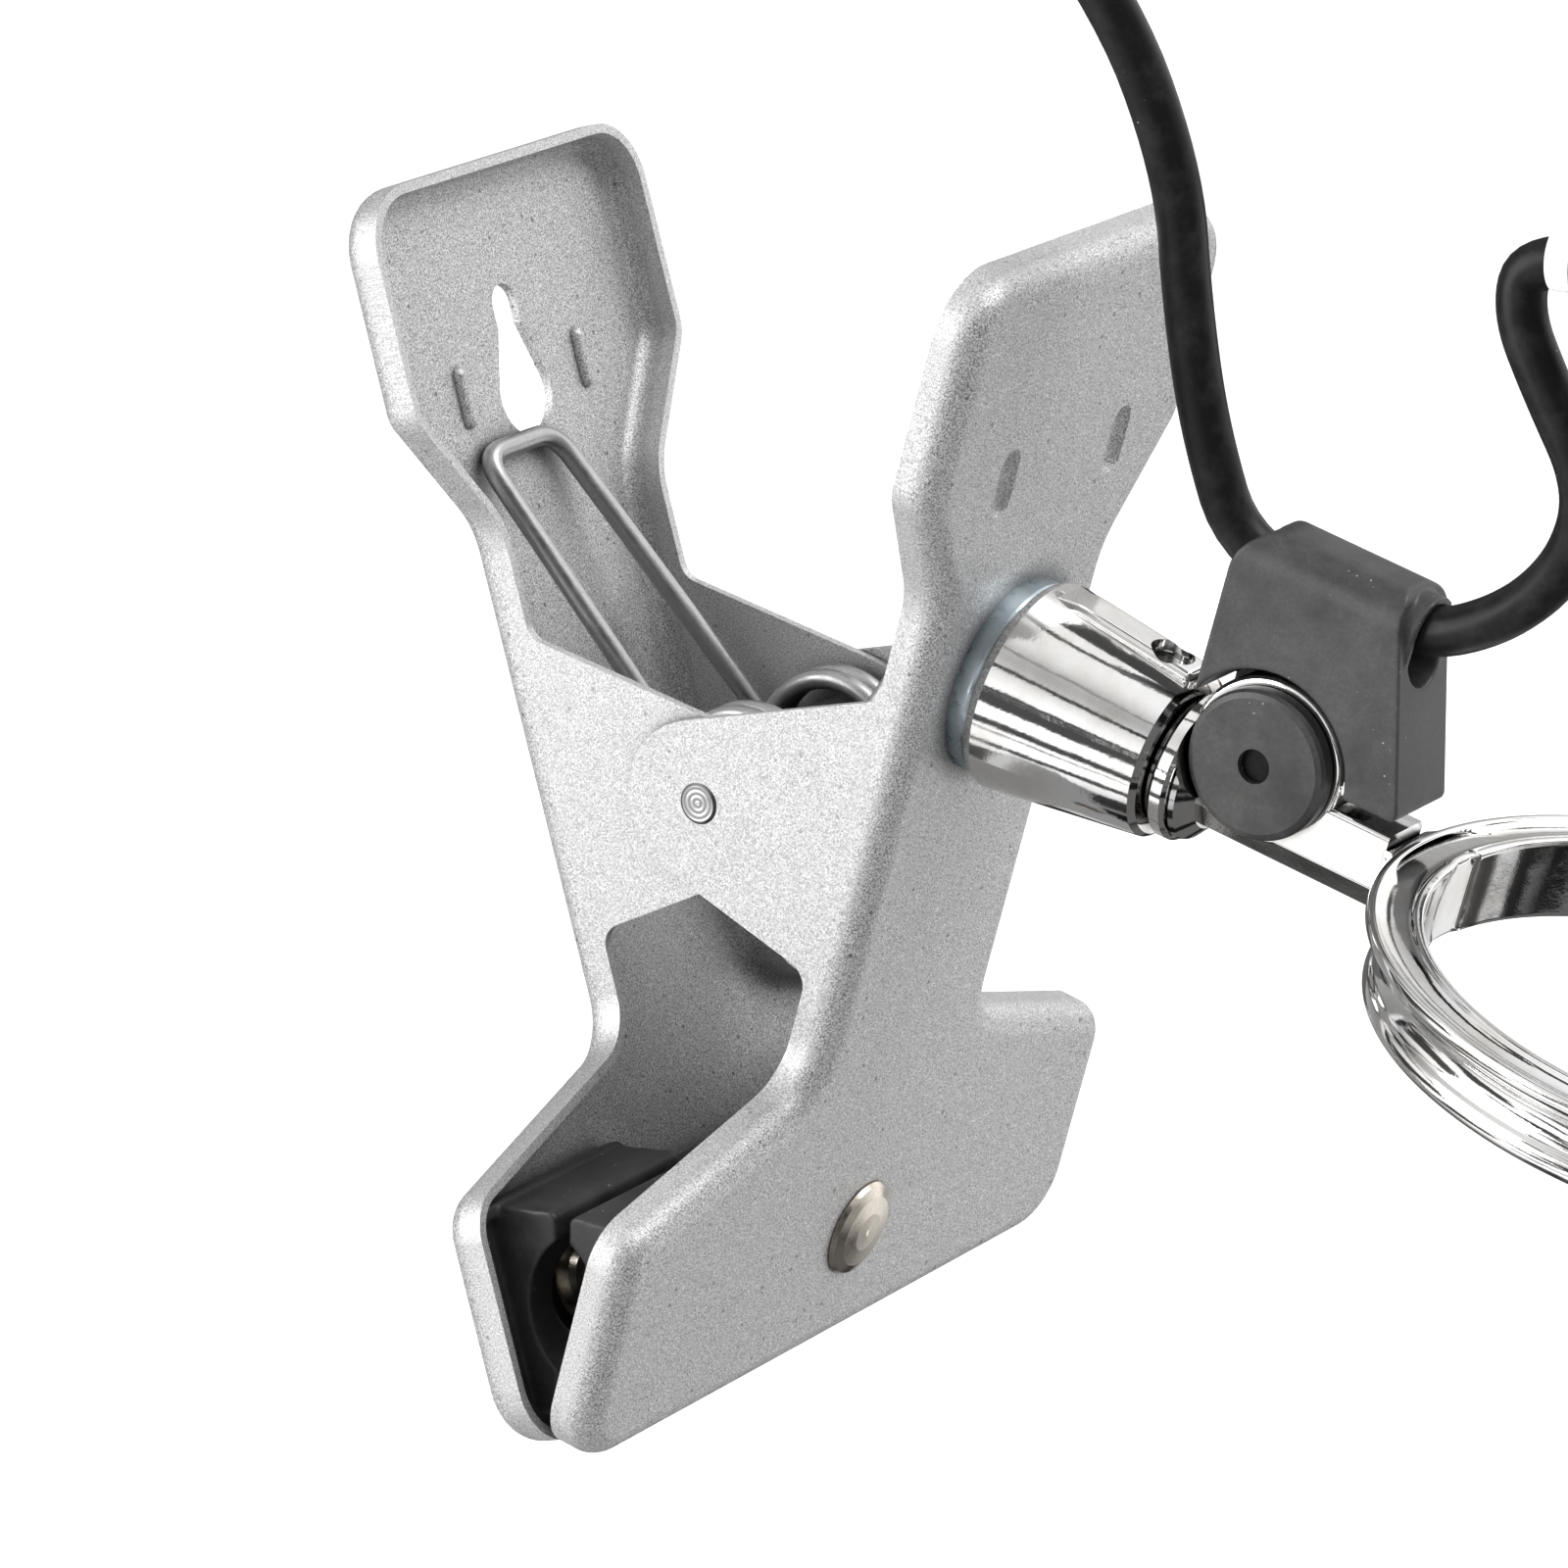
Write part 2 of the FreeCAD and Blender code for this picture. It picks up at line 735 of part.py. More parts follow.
bush_blank = turned(
    "bush_blank",
    [
        ("sizes.shaft_radius + sizes.running_gap", "sizes.cone_end - 9.55"),
        ("sizes.shaft_radius + 1.0", "sizes.cone_end - 9.55"),
        ("sizes.shaft_radius + 1.0", "sizes.cone_end"),
        ("sizes.shaft_radius + sizes.running_gap", "sizes.cone_end"),
    ],
)
bush_hole = cylinder("bush_hole", 1.3, 12, Vector(0, 0, screw_at), Vector(-1, 0, 0))
swivel_bush = cut("swivel_bush", bush_blank, [bush_hole])
swivel_bush.Placement = swivel_frame

turned(
    "friction_disc",
    [
        (0, "sizes.cone_end - 10.5"),
        ("sizes.shaft_radius + 0.9", "sizes.cone_end - 10.5"),
        ("sizes.shaft_radius + 0.9", "sizes.cone_end - 9.6"),
        (0, "sizes.cone_end - 9.6"),
    ],
    swivel_frame,
)

set_screw_axis = front_frame * Placement(
    Vector(screw_at, 0, swivel_level), Rotation()
)
set_screw_blank = turned(
    "set_screw_blank",
    [
        (0, 3.3),
        (1.0, 3.3),
        (1.2, 3.5),
        (1.2, 5.15),
        (2.0, 5.15),
        (2.0, 8.7),
        (1.7, 9.0),
        (0, 9.0),
    ],
)
set_screw_socket = shaped(
    "set_screw_socket", hexagon(2.0, 2.5, Vector(0, 0, 7.2), Vector(0, 0, 1))
)
set_screw = cut("set_screw", set_screw_blank, [set_screw_socket])
set_screw.Placement = set_screw_axis

# ---------------------------------------------------------------- swivel arm
shaft = turned(
    "arm_shaft",
    [
        (0, "sizes.cone_end - 9.55"),
        ("sizes.shaft_radius - 0.3", "sizes.cone_end - 9.55"),
        ("sizes.shaft_radius", "sizes.cone_end - 9.25"),
        ("sizes.shaft_radius", "sizes.set_screw_at - 1.5"),
        ("sizes.shaft_radius - 1.0", "sizes.set_screw_at - 1.5"),
        ("sizes.shaft_radius - 1.0", "sizes.set_screw_at + 1.5"),
        ("sizes.shaft_radius", "sizes.set_screw_at + 1.5"),
        ("sizes.shaft_radius", "sizes.cone_end + 0.25"),
        (6.9, "sizes.cone_end + 0.25"),
        (6.9, "sizes.cone_end + 0.8"),
        (7.6, "sizes.cone_end + 0.9"),
        (7.9, "sizes.cone_end + 1.3"),
        (7.9, "sizes.cone_end + 2.5"),
        (7.5, "sizes.cone_end + 2.9"),
        (7.1, "sizes.cone_end + 3.0"),
        (7.4, "sizes.cone_end + 3.3"),
        (7.2, "sizes.cone_end + 3.8"),
        (5.4, "sizes.cone_end + 5.2"),
        (0, "sizes.cone_end + 5.2"),
    ],
    outwards(swivel_level, Placement()),
)
bar_half = size("bar_half")
bar_end = size("ring_at") - size("ring_outer") - 1.2
bar_section = rounded(
    [
        (-bar_half, size("bar_low") + 2.7, 0.6),
        (-bar_half + 1.7, size("bar_low"), 0.6),
        (bar_half - 1.7, size("bar_low"), 0.6),
        (bar_half, size("bar_low") + 2.7, 0.6),
        (bar_half, size("bar_high"), 0.6),
        (-bar_half, size("bar_high"), 0.6),
    ],
    on_plate(size("cone_end") + 3.0),
)
bar = shaped(
    "arm_bar", bar_section.extrude(Vector(bar_end - size("cone_end") - 3.0, 0, 0))
)
eye_centre = Vector(size("eye_at"), 0, size("eye_level"))
eye_disc = Part.makeCylinder(
    size("eye_radius"),
    2 * bar_half,
    eye_centre - Vector(0, bar_half, 0),
    Vector(0, 1, 0),
)
eye_rims = [edge for edge in eye_disc.Edges if len(edge.Vertexes) == 1]
eye = shaped("arm_eye", eye_disc.makeFillet(0.6, eye_rims))
tenon_level = (size("ring_low") + size("ring_high")) / 2
tenon = cylinder(
    "arm_tenon", 2.5, 5.5, Vector(bar_end - 1.0, 0, tenon_level), Vector(1, 0, 0)
)
arm_core = fuse("arm_core", [shaft, bar, eye, tenon])
eye_hole = cylinder(
    "eye_hole",
    1.6,
    "4 * sizes.bar_half",
    eye_centre - Vector(0, 2 * bar_half, 0),
    Vector(0, 1, 0),
)
disc_room = cylinder(
    "disc_room",
    "sizes.disc_radius + 0.3",
    10,
    eye_centre - Vector(0, bar_half, 0),
    Vector(0, -1, 0),
)
swivel_arm = cut("swivel_arm", arm_core, [eye_hole, disc_room])
swivel_arm.Placement = front_frame

# ---------------------------------------------------------------- holding ring
ring_centre = Vector(size("ring_at"), 0, 0)
hoop = turned(
    "ring_hoop",
    [
        ("sizes.ring_inner", "sizes.ring_low + 0.4"),
        ("sizes.ring_inner + 0.4", "sizes.ring_low"),
        ("sizes.ring_outer - 2.2", "sizes.ring_low"),
        ("sizes.ring_outer - 1.5", "sizes.ring_low + 0.7"),
        ("sizes.ring_outer - 1.5", "sizes.ring_low + 1.9"),
        ("sizes.ring_outer - 2.3", "sizes.ring_low + 3.0"),
        ("sizes.ring_outer - 2.3", "sizes.ring_low + 5.2"),
        ("sizes.ring_outer - 1.3", "sizes.ring_high - 1.9"),
        ("sizes.ring_outer", "sizes.ring_high - 1.1"),
        ("sizes.ring_outer", "sizes.ring_high - 0.4"),
        ("sizes.ring_outer - 0.4", "sizes.ring_high"),
        ("sizes.ring_inner + 0.4", "sizes.ring_high"),
        ("sizes.ring_inner", "sizes.ring_high - 0.4"),
    ],
    Placement(ring_centre, Rotation()),
)
boss_face = rounded(
    [
        (bar_end + 0.05, -4.2, 1.0),
        (bar_end + 4.0, -9.0, 2.0),
        (bar_end + 9.0, -9.0, 0),
        (bar_end + 9.0, 9.0, 0),
        (bar_end + 4.0, 9.0, 2.0),
        (bar_end + 0.05, 4.2, 1.0),
    ],
    lambda point: Vector(point.x, point.y, size("ring_low") + 0.4),
)
boss = shaped(
    "ring_boss",
    boss_face.extrude(Vector(0, 0, size("ring_high") - size("ring_low") - 0.8)),
)
inside = cylinder(
    "ring_inside", "sizes.ring_inner", 20, ring_centre + Vector(0, 0, size("ring_low") - 5)
)
boss_kept = cut("ring_boss_kept", boss, [inside])
ring_core = fuse("ring_core", [hoop, boss_kept])
tenon_hole = cylinder(
    "tenon_hole", 2.5, 6.0, Vector(bar_end - 1.0, 0, tenon_level), Vector(1, 0, 0)
)
seam = box(
    "ring_seam",
    2.0,
    0.3,
    20,
    Vector(size("ring_at") - size("ring_inner") - 0.8, 3.3, size("ring_low") - 5),
)
holding_ring = cut("holding_ring", ring_core, [tenon_hole, seam])
holding_ring.Placement = front_frame

# ---------------------------------------------------------------- cable holder
holder_half = size("holder_half")
lean = math.radians(tilt)


def end_face(up):
    """The far end of the holder is upright in the world."""
    return (74.9 - up * math.sin(lean)) / math.cos(lean)


roof = size("holder_roof")
holder_low = size("holder_low")
side_view = rounded(
    [
        (size("holder_left"), holder_low, 0),
        (end_face(holder_low), holder_low, 0.8),
        (end_face(roof), roof, 1.5),
        (size("holder_left"), roof, 4.8),
    ],
    on_side(-holder_half),
)
end_view = rounded(
    [
        (-holder_half, holder_low - 1.0, 0),
        (holder_half, holder_low - 1.0, 0),
        (holder_half, roof, 3.6),
        (-holder_half, roof, 3.6),
    ],
    on_plate(size("holder_left") - 5.0),
)
holder_block = side_view.extrude(Vector(0, 2 * holder_half, 0)).common(
    end_view.extrude(Vector(50, 0, 0))
)
eye_room = Part.makeCylinder(
    9.8, holder_half + 1.0 + bar_half, eye_centre - Vector(0, holder_half + 1.0, 0),
    Vector(0, 1, 0),
)
web = Part.makeCylinder(
    size("disc_radius"),
    holder_half - bar_half,
    eye_centre + Vector(0, bar_half, 0),
    Vector(0, 1, 0),
)
web_hole = Part.makeCylinder(1.6, 20, eye_centre - Vector(0, 10, 0), Vector(0, 1, 0))
tunnel_level = size("tunnel_level")
tunnel_half = size("tunnel_half_width")
rise = size("tunnel_half_height") - tunnel_half


def oblong(half_width, start, length):
    """A straight oblong prism along the holder, taller than wide."""
    ends = [
        Part.makeCylinder(
            half_width, length, Vector(start, 0, tunnel_level + lift), Vector(1, 0, 0)
        )
        for lift in (-rise, rise)
    ]
    middle = Part.makeBox(
        length, 2 * half_width, 2 * rise,
        Vector(start, -half_width, tunnel_level - rise),
    )
    return ends[0].fuse([ends[1], middle])


tunnel = oblong(tunnel_half, size("holder_left") - 5, 40)
lip_depth = 0.5
lip = oblong(tunnel_half + 0.8, 55, end_face(tunnel_level) + lip_depth - 55)
collar_room = Part.makeCylinder(
    8.3, 20, Vector(size("cone_end") - 10, 0, swivel_level), Vector(1, 0, 0)
)
holder_shape = holder_block.fuse(lip).cut(eye_room)
holder_shape = holder_shape.fuse(web).cut([web_hole, tunnel, collar_room])
cable_holder = shaped("cable_holder", holder_shape.removeSplitter(), front_frame)

# pieces on the eye's own axis: Z points out of the near face
eye_frame = front_frame * Placement(
    eye_centre, Rotation(Vector(0, 0, 1), Vector(0, -1, 0))
)
turned(
    "holder_disc",
    [
        (1.5, "sizes.bar_half"),
        ("sizes.disc_radius - 0.2", "sizes.bar_half"),
        ("sizes.disc_radius", "sizes.bar_half + 0.2"),
        ("sizes.disc_radius", "sizes.bar_half + 1.6"),
        ("sizes.disc_radius - 0.25", "sizes.bar_half + 2.05"),
        ("sizes.disc_radius - 0.8", "sizes.bar_half + 2.3"),
        (1.8, "sizes.bar_half + 2.3"),
        (1.8, "sizes.bar_half + 0.7"),
        (1.5, "sizes.bar_half + 0.7"),
    ],
    eye_frame,
)
holder_screw_blank = turned(
    "holder_screw_blank",
    [
        (0, "-sizes.holder_half - 2.6"),
        (1.2, "-sizes.holder_half - 2.6"),
        (1.5, "-sizes.holder_half - 2.3"),
        (1.5, "sizes.bar_half + 0.7"),
        (1.75, "sizes.bar_half + 0.7"),
        (1.75, "sizes.bar_half + 1.5"),
        (0, "sizes.bar_half + 1.5"),
    ],
)
holder_screw_socket = shaped(
    "holder_screw_socket", hexagon(1.5, 2.0, Vector(0, 0, bar_half + 0.5), Vector(0, 0, 1))
)
holder_screw = cut("holder_screw", holder_screw_blank, [holder_screw_socket])
holder_screw.Placement = eye_frame
nut_shape = hexagon(5.5, 2.2, Vector(0, 0, -holder_half - 2.2), Vector(0, 0, 1))
nut_hole = Part.makeCylinder(1.5, 20, Vector(0, 0, -15), Vector(0, 0, 1))
holder_nut = shaped("holder_nut", nut_shape.cut(nut_hole), eye_frame)

# ---------------------------------------------------------------- cords
cord_radius = size("cord_radius")
tunnel_middle = (64.84, 0.0, 77.02)
SUPPLY_ROUTE = [
    tunnel_middle,
    (54.3, 0.0, 80.01),
    (51.0, -2.0, 93.0),
    (50.0, -4.0, 106.0),
    (50.6, -7.0, 120.0),
    (46.0, -12.0, 138.0),
    (28.0, -17.0, 161.0),
    (-4.0, -21.0, 178.0),
    (-44.0, -21.0, 178.0),
    (-82.0, -19.0, 163.0),
    (-108.0, -15.0, 131.0),
    (-117.0, -12.0, 92.0),
    (-117.0, -12.0, 60.0),
]
supply_cord = shaped("supply_cord", swept("supply_cord", SUPPLY_ROUTE, cord_radius))

LAMP_LEAD_ROUTE = [
    tunnel_middle,
    (73.8, 0.0, 74.48),
    (84.0, -1.0, 78.0),
    (91.5, -2.0, 84.5),
    (94.5, -3.0, 93.0),
    (89.2, -3.0, 102.5),
    (85.6, -2.5, 109.5),
    (86.6, -2.0, 115.0),
    (93.4, -1.5, 115.0),
]
lamp_lead = shaped("lamp_lead", swept("lamp_lead", LAMP_LEAD_ROUTE, cord_radius))

# the rest of the supply cord hangs as a tied bundle of turns
coil_mean = size("coil_of_cord")
bundle = size("coil_bundle")
coil_centre = Vector(-117.0 - coil_mean, -12.0, 56.0)
upright = Rotation(Vector(0, 0, 1), Vector(0, 1, 0))
cord_coil = doc.addObject("Part::Torus", "cord_coil")
bind(cord_coil, Radius1="sizes.coil_of_cord", Radius2="sizes.coil_bundle")
cord_coil.Placement = Placement(coil_centre, upright)
band = Part.makeTorus(coil_mean, bundle + 1.0).cut(Part.makeTorus(coil_mean, bundle))
tie_wedge = Part.makeBox(24, 8, 30, Vector(coil_mean - 12, -4, -15))
cord_tie = shaped("cord_tie", band.common(tie_wedge))
cord_tie.Placement = Placement(coil_centre, upright)

tail_x = coil_centre.x + coil_mean
tail = [
    (tail_x, -12.0, 50.0),
    (tail_x, -12.0, 26.0),
]
tail_line = Vector(*tail[1]) - Vector(*tail[0])
cord_tail = cylinder(
    "cord_tail", "sizes.cord_radius", tail_line.Length, Vector(*tail[0]), tail_line
)


def along(start, direction):
    """A frame whose Z axis runs along a cord's end."""
    return Placement(Vector(*start), Rotation(Vector(0, 0, 1), direction))


turned(
    "plug_body",
    [
        (0, 0),
        ("sizes.cord_radius + 0.5", 0),
        ("sizes.cord_radius + 1.1", 12),
        ("sizes.cord_radius + 2.2", 13),
        ("sizes.cord_radius + 2.6", 16),
        ("sizes.cord_radius + 2.6", 32),
        ("sizes.cord_radius + 2.2", 33),
        (0, 33),
    ],
    along(tail[1], tail_line),
)
turned(
    "plug_barrel",
    [
        (1.1, 33),
        (2.75, 33),
        (2.75, 42.0),
        (2.5, 42.5),
        (1.25, 42.5),
        (1.1, 42.2),
    ],
    along(tail[1], tail_line),
)

lead_end = LAMP_LEAD_ROUTE[-1]
lead_line = Vector(*lead_end) - Vector(*LAMP_LEAD_ROUTE[-2])
turned(
    "lead_collar",
    [
        ("sizes.cord_radius", -4.0),
        ("sizes.cord_radius + 0.7", -4.0),
        ("sizes.cord_radius + 0.7", -1.0),
        ("sizes.cord_radius", -1.0),
    ],
    along(lead_end, lead_line),
)
turned(
    "lead_connector",
    [
        (0, 0),
        ("sizes.cord_radius", 0),
        ("sizes.cord_radius", -1.0),
        ("sizes.cord_radius + 2.0", -1.0),
        ("sizes.cord_radius + 2.4", -0.6),
        ("sizes.cord_radius + 2.4", 18),
        ("sizes.cord_radius + 1.4", 19),
        ("sizes.cord_radius + 1.4", 25),
        (1.6, 25),
        (1.6, 19),
        (0, 19),
    ],
    along(lead_end, lead_line),
)

# ---------------------------------------------------------------- files
NODES = [
    "front_jaw", "rear_jaw", "pivot_pin", "spacer_sleeve", "torsion_spring",
    "front_pad", "rear_pad", "front_pad_rivet", "rear_pad_rivets",
    "front_rivet_washer", "rear_rivet_washers", "seat_washer", "lock_washer",
    "cone_screw", "swivel_cone", "swivel_bush", "friction_disc", "set_screw",
    "swivel_arm", "holding_ring", "cable_holder", "holder_disc", "holder_screw",
    "holder_nut", "supply_cord", "cord_coil", "cord_tie", "cord_tail", "plug_body",
    "plug_barrel", "lamp_lead", "lead_collar", "lead_connector",
]

doc.recompute()
for piece in doc.Objects:
    if "Invalid" in piece.State or "Error" in piece.State:
        raise RuntimeError("%s did not build: %s" % (piece.Name, piece.State))
os.makedirs("parts", exist_ok=True)
for name in NODES:
    piece = doc.getObject(name)
    shape = piece.Shape
    if shape.isNull() or not shape.isValid() or not shape.Solids:
        raise RuntimeError("%s has no valid solid" % name)
    shape.exportStep("parts/%s.step" % name)
    print("%-18s solids %d volume %9.2f" % (name, len(shape.Solids), shape.Volume))
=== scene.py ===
"""Looks of the spring clamp with its swivelling ring arm, cable holder and cords.

Lengths in the constants are millimetres, as in part.py; MM turns them into metres.
"""

import json
import math

import bpy
import bmesh
from mathutils import Matrix, Vector
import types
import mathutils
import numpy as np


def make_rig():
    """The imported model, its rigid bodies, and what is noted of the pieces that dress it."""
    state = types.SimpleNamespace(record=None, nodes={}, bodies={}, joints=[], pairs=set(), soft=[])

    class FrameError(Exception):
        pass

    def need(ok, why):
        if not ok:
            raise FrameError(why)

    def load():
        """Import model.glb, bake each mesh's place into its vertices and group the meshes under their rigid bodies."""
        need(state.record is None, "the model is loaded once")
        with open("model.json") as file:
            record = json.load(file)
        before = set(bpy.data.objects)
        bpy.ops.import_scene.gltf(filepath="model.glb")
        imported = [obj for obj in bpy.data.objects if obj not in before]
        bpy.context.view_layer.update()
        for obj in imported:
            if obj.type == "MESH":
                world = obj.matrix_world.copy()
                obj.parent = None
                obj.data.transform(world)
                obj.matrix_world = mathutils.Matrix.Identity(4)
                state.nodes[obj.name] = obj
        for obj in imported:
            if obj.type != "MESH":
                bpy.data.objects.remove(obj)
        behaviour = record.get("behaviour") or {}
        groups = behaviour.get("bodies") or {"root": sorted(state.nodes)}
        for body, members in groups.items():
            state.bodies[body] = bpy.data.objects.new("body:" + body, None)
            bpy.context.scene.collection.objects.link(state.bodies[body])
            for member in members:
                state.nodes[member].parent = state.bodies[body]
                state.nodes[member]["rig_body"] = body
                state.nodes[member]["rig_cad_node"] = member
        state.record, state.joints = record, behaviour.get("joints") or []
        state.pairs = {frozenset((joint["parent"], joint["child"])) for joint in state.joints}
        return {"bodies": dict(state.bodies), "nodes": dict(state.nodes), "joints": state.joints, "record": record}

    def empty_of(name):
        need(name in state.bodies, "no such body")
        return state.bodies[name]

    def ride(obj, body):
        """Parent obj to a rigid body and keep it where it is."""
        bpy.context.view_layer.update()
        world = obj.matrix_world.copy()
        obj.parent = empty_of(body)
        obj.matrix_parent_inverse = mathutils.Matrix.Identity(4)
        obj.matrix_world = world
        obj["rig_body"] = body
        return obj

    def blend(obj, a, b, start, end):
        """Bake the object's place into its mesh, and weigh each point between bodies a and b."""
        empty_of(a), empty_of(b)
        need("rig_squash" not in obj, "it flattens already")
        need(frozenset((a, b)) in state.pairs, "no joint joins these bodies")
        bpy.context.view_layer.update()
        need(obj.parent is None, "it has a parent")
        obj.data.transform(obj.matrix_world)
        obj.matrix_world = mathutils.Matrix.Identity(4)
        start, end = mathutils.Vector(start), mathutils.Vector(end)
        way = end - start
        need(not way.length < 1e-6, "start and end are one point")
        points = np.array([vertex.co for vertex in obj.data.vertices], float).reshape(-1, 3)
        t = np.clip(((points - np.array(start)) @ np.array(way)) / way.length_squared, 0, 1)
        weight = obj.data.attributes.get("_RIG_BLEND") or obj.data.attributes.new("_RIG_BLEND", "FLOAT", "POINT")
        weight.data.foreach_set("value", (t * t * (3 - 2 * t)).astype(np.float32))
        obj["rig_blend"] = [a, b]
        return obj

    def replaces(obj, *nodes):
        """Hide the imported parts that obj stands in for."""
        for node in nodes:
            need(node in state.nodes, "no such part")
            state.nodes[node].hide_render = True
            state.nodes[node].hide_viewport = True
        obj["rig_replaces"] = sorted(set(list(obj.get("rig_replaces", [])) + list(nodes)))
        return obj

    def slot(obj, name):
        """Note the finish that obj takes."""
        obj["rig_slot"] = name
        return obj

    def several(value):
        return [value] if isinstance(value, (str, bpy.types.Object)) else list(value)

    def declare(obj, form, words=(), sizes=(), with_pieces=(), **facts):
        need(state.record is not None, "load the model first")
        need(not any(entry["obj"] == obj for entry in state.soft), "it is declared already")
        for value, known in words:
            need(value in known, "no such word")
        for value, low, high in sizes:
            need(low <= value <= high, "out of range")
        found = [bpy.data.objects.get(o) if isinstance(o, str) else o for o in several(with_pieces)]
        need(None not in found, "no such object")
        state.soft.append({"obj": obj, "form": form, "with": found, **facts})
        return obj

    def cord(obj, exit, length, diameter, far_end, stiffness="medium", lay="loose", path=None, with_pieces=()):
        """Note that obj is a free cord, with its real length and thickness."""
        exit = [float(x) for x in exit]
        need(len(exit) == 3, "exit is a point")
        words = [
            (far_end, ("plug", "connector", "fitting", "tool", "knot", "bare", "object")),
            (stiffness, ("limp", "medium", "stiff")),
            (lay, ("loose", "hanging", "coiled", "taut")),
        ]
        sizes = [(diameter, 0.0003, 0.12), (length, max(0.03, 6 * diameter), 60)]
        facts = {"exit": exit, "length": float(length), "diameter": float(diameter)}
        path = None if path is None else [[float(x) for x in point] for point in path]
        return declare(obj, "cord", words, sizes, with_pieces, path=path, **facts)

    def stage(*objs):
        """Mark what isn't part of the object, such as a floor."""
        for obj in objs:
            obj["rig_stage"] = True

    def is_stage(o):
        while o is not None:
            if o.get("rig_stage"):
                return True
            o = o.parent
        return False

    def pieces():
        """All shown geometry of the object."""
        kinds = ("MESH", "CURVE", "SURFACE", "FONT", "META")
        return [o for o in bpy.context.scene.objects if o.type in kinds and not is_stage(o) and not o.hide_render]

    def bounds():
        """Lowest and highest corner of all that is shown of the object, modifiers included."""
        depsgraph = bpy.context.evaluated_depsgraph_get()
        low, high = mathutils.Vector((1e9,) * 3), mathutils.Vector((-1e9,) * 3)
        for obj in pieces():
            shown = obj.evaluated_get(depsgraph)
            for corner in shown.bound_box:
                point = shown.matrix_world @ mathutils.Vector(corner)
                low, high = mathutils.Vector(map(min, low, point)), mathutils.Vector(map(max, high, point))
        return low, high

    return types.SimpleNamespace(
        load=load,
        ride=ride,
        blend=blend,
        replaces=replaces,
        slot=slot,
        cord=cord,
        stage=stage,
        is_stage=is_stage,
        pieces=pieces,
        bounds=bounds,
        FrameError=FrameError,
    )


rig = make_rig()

for leftover in list(bpy.data.objects):
    bpy.data.objects.remove(leftover)
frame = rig.load()
CAD_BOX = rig.bounds()
NODES = frame["nodes"]
MM = 0.001

# ---------------------------------------------------------------- frames from the record
HINGE = next(j for j in frame["joints"] if j["name"] == "jaw_hinge")
SWIVEL = next(j for j in frame["joints"] if j["name"] == "arm_swivel")
PIN = Vector(HINGE["pos_m"])
CONE_AXIS = Vector(SWIVEL["axis"])
TILT = math.atan2(-CONE_AXIS.z, CONE_AXIS.x)
FRONT = Matrix.Translation(PIN) @ Matrix.Rotation(TILT, 4, "Y")
REAR = Matrix.Translation(PIN) @ Matrix.Rotation(math.pi, 4, "Z") @ Matrix.Rotation(TILT, 4, "Y")


def placed(frame_matrix, x, y, z):
    """A point given in millimetres in one of the frames, in metres in the world."""
    return frame_matrix @ Vector((x * MM, y * MM, z * MM))


# ---------------------------------------------------------------- camera
AZIMUTH, ELEVATION, ROLL = (math.radians(a) for a in (32.84, 16.495, -0.244))
EYE = Vector((0.43281, -0.67059, 0.28438))
LENS, SENSOR = 183.7, 36


def make_camera():
    back = Vector((
        math.sin(AZIMUTH) * math.cos(ELEVATION),
        -math.cos(AZIMUTH) * math.cos(ELEVATION),
        math.sin(ELEVATION),
    ))
    level = Vector((math.cos(AZIMUTH), math.sin(AZIMUTH), 0))
    rise = back.cross(level)
    right = level * math.cos(ROLL) + rise * math.sin(ROLL)
    up = rise * math.cos(ROLL) - level * math.sin(ROLL)
    data = bpy.data.cameras.new("camera")
    data.sensor_width = SENSOR
    data.lens = LENS
    data.clip_start = 0.02
    data.clip_end = 20
    camera = bpy.data.objects.new("camera", data)
    camera.matrix_world = Matrix.Translation(EYE) @ Matrix((right, up, back)).transposed().to_4x4()
    bpy.context.collection.objects.link(camera)
    bpy.context.scene.camera = camera


make_camera()


# ---------------------------------------------------------------- mesh tools
def new_object(name, data):
    piece = bpy.data.objects.new(name, data)
    bpy.context.collection.objects.link(piece)
    return piece


def finish_mesh(name, mesh, smooth_angle=35):
    """Sets normals outwards and smooth, with edges sharper than the angle kept."""
    work = bmesh.new()
    work.from_mesh(mesh)
    bmesh.ops.recalc_face_normals(work, faces=work.faces)
    work.to_mesh(mesh)
    work.free()
    mesh.polygons.foreach_set("use_smooth", [True] * len(mesh.polygons))
    mesh.set_sharp_from_angle(angle=math.radians(smooth_angle))
    return new_object(name, mesh)


def route_line(name, points, order=3, resolution=8):
    """A NURBS spline through space that has the route's points as control points."""
    curve = bpy.data.curves.new(name, "CURVE")
    curve.dimensions = "3D"
    spline = curve.splines.new("NURBS")
    spline.points.add(len(points) - 1)
    for control, point in zip(spline.points, points):
        control.co = (*(c * MM for c in point), 1)
    spline.order_u = order
    spline.use_endpoint_u = True
    spline.resolution_u = resolution
    return curve


def line_points(curve):
    """The points of a curve's own line, read from its evaluated mesh."""
    holder = new_object(curve.name + "_line", curve)
    bpy.context.view_layer.update()
    evaluated = holder.evaluated_get(bpy.context.evaluated_depsgraph_get())
    mesh = bpy.data.meshes.new_from_object(evaluated)
    points = [vertex.co.copy() for vertex in mesh.vertices]
    bpy.data.meshes.remove(mesh)
    bpy.data.objects.remove(holder)
    kept = [points[0]]
    for point in points[1:]:
        if (point - kept[-1]).length > 1e-5:
            kept.append(point)
    return kept


TUBE_SIDES = 24


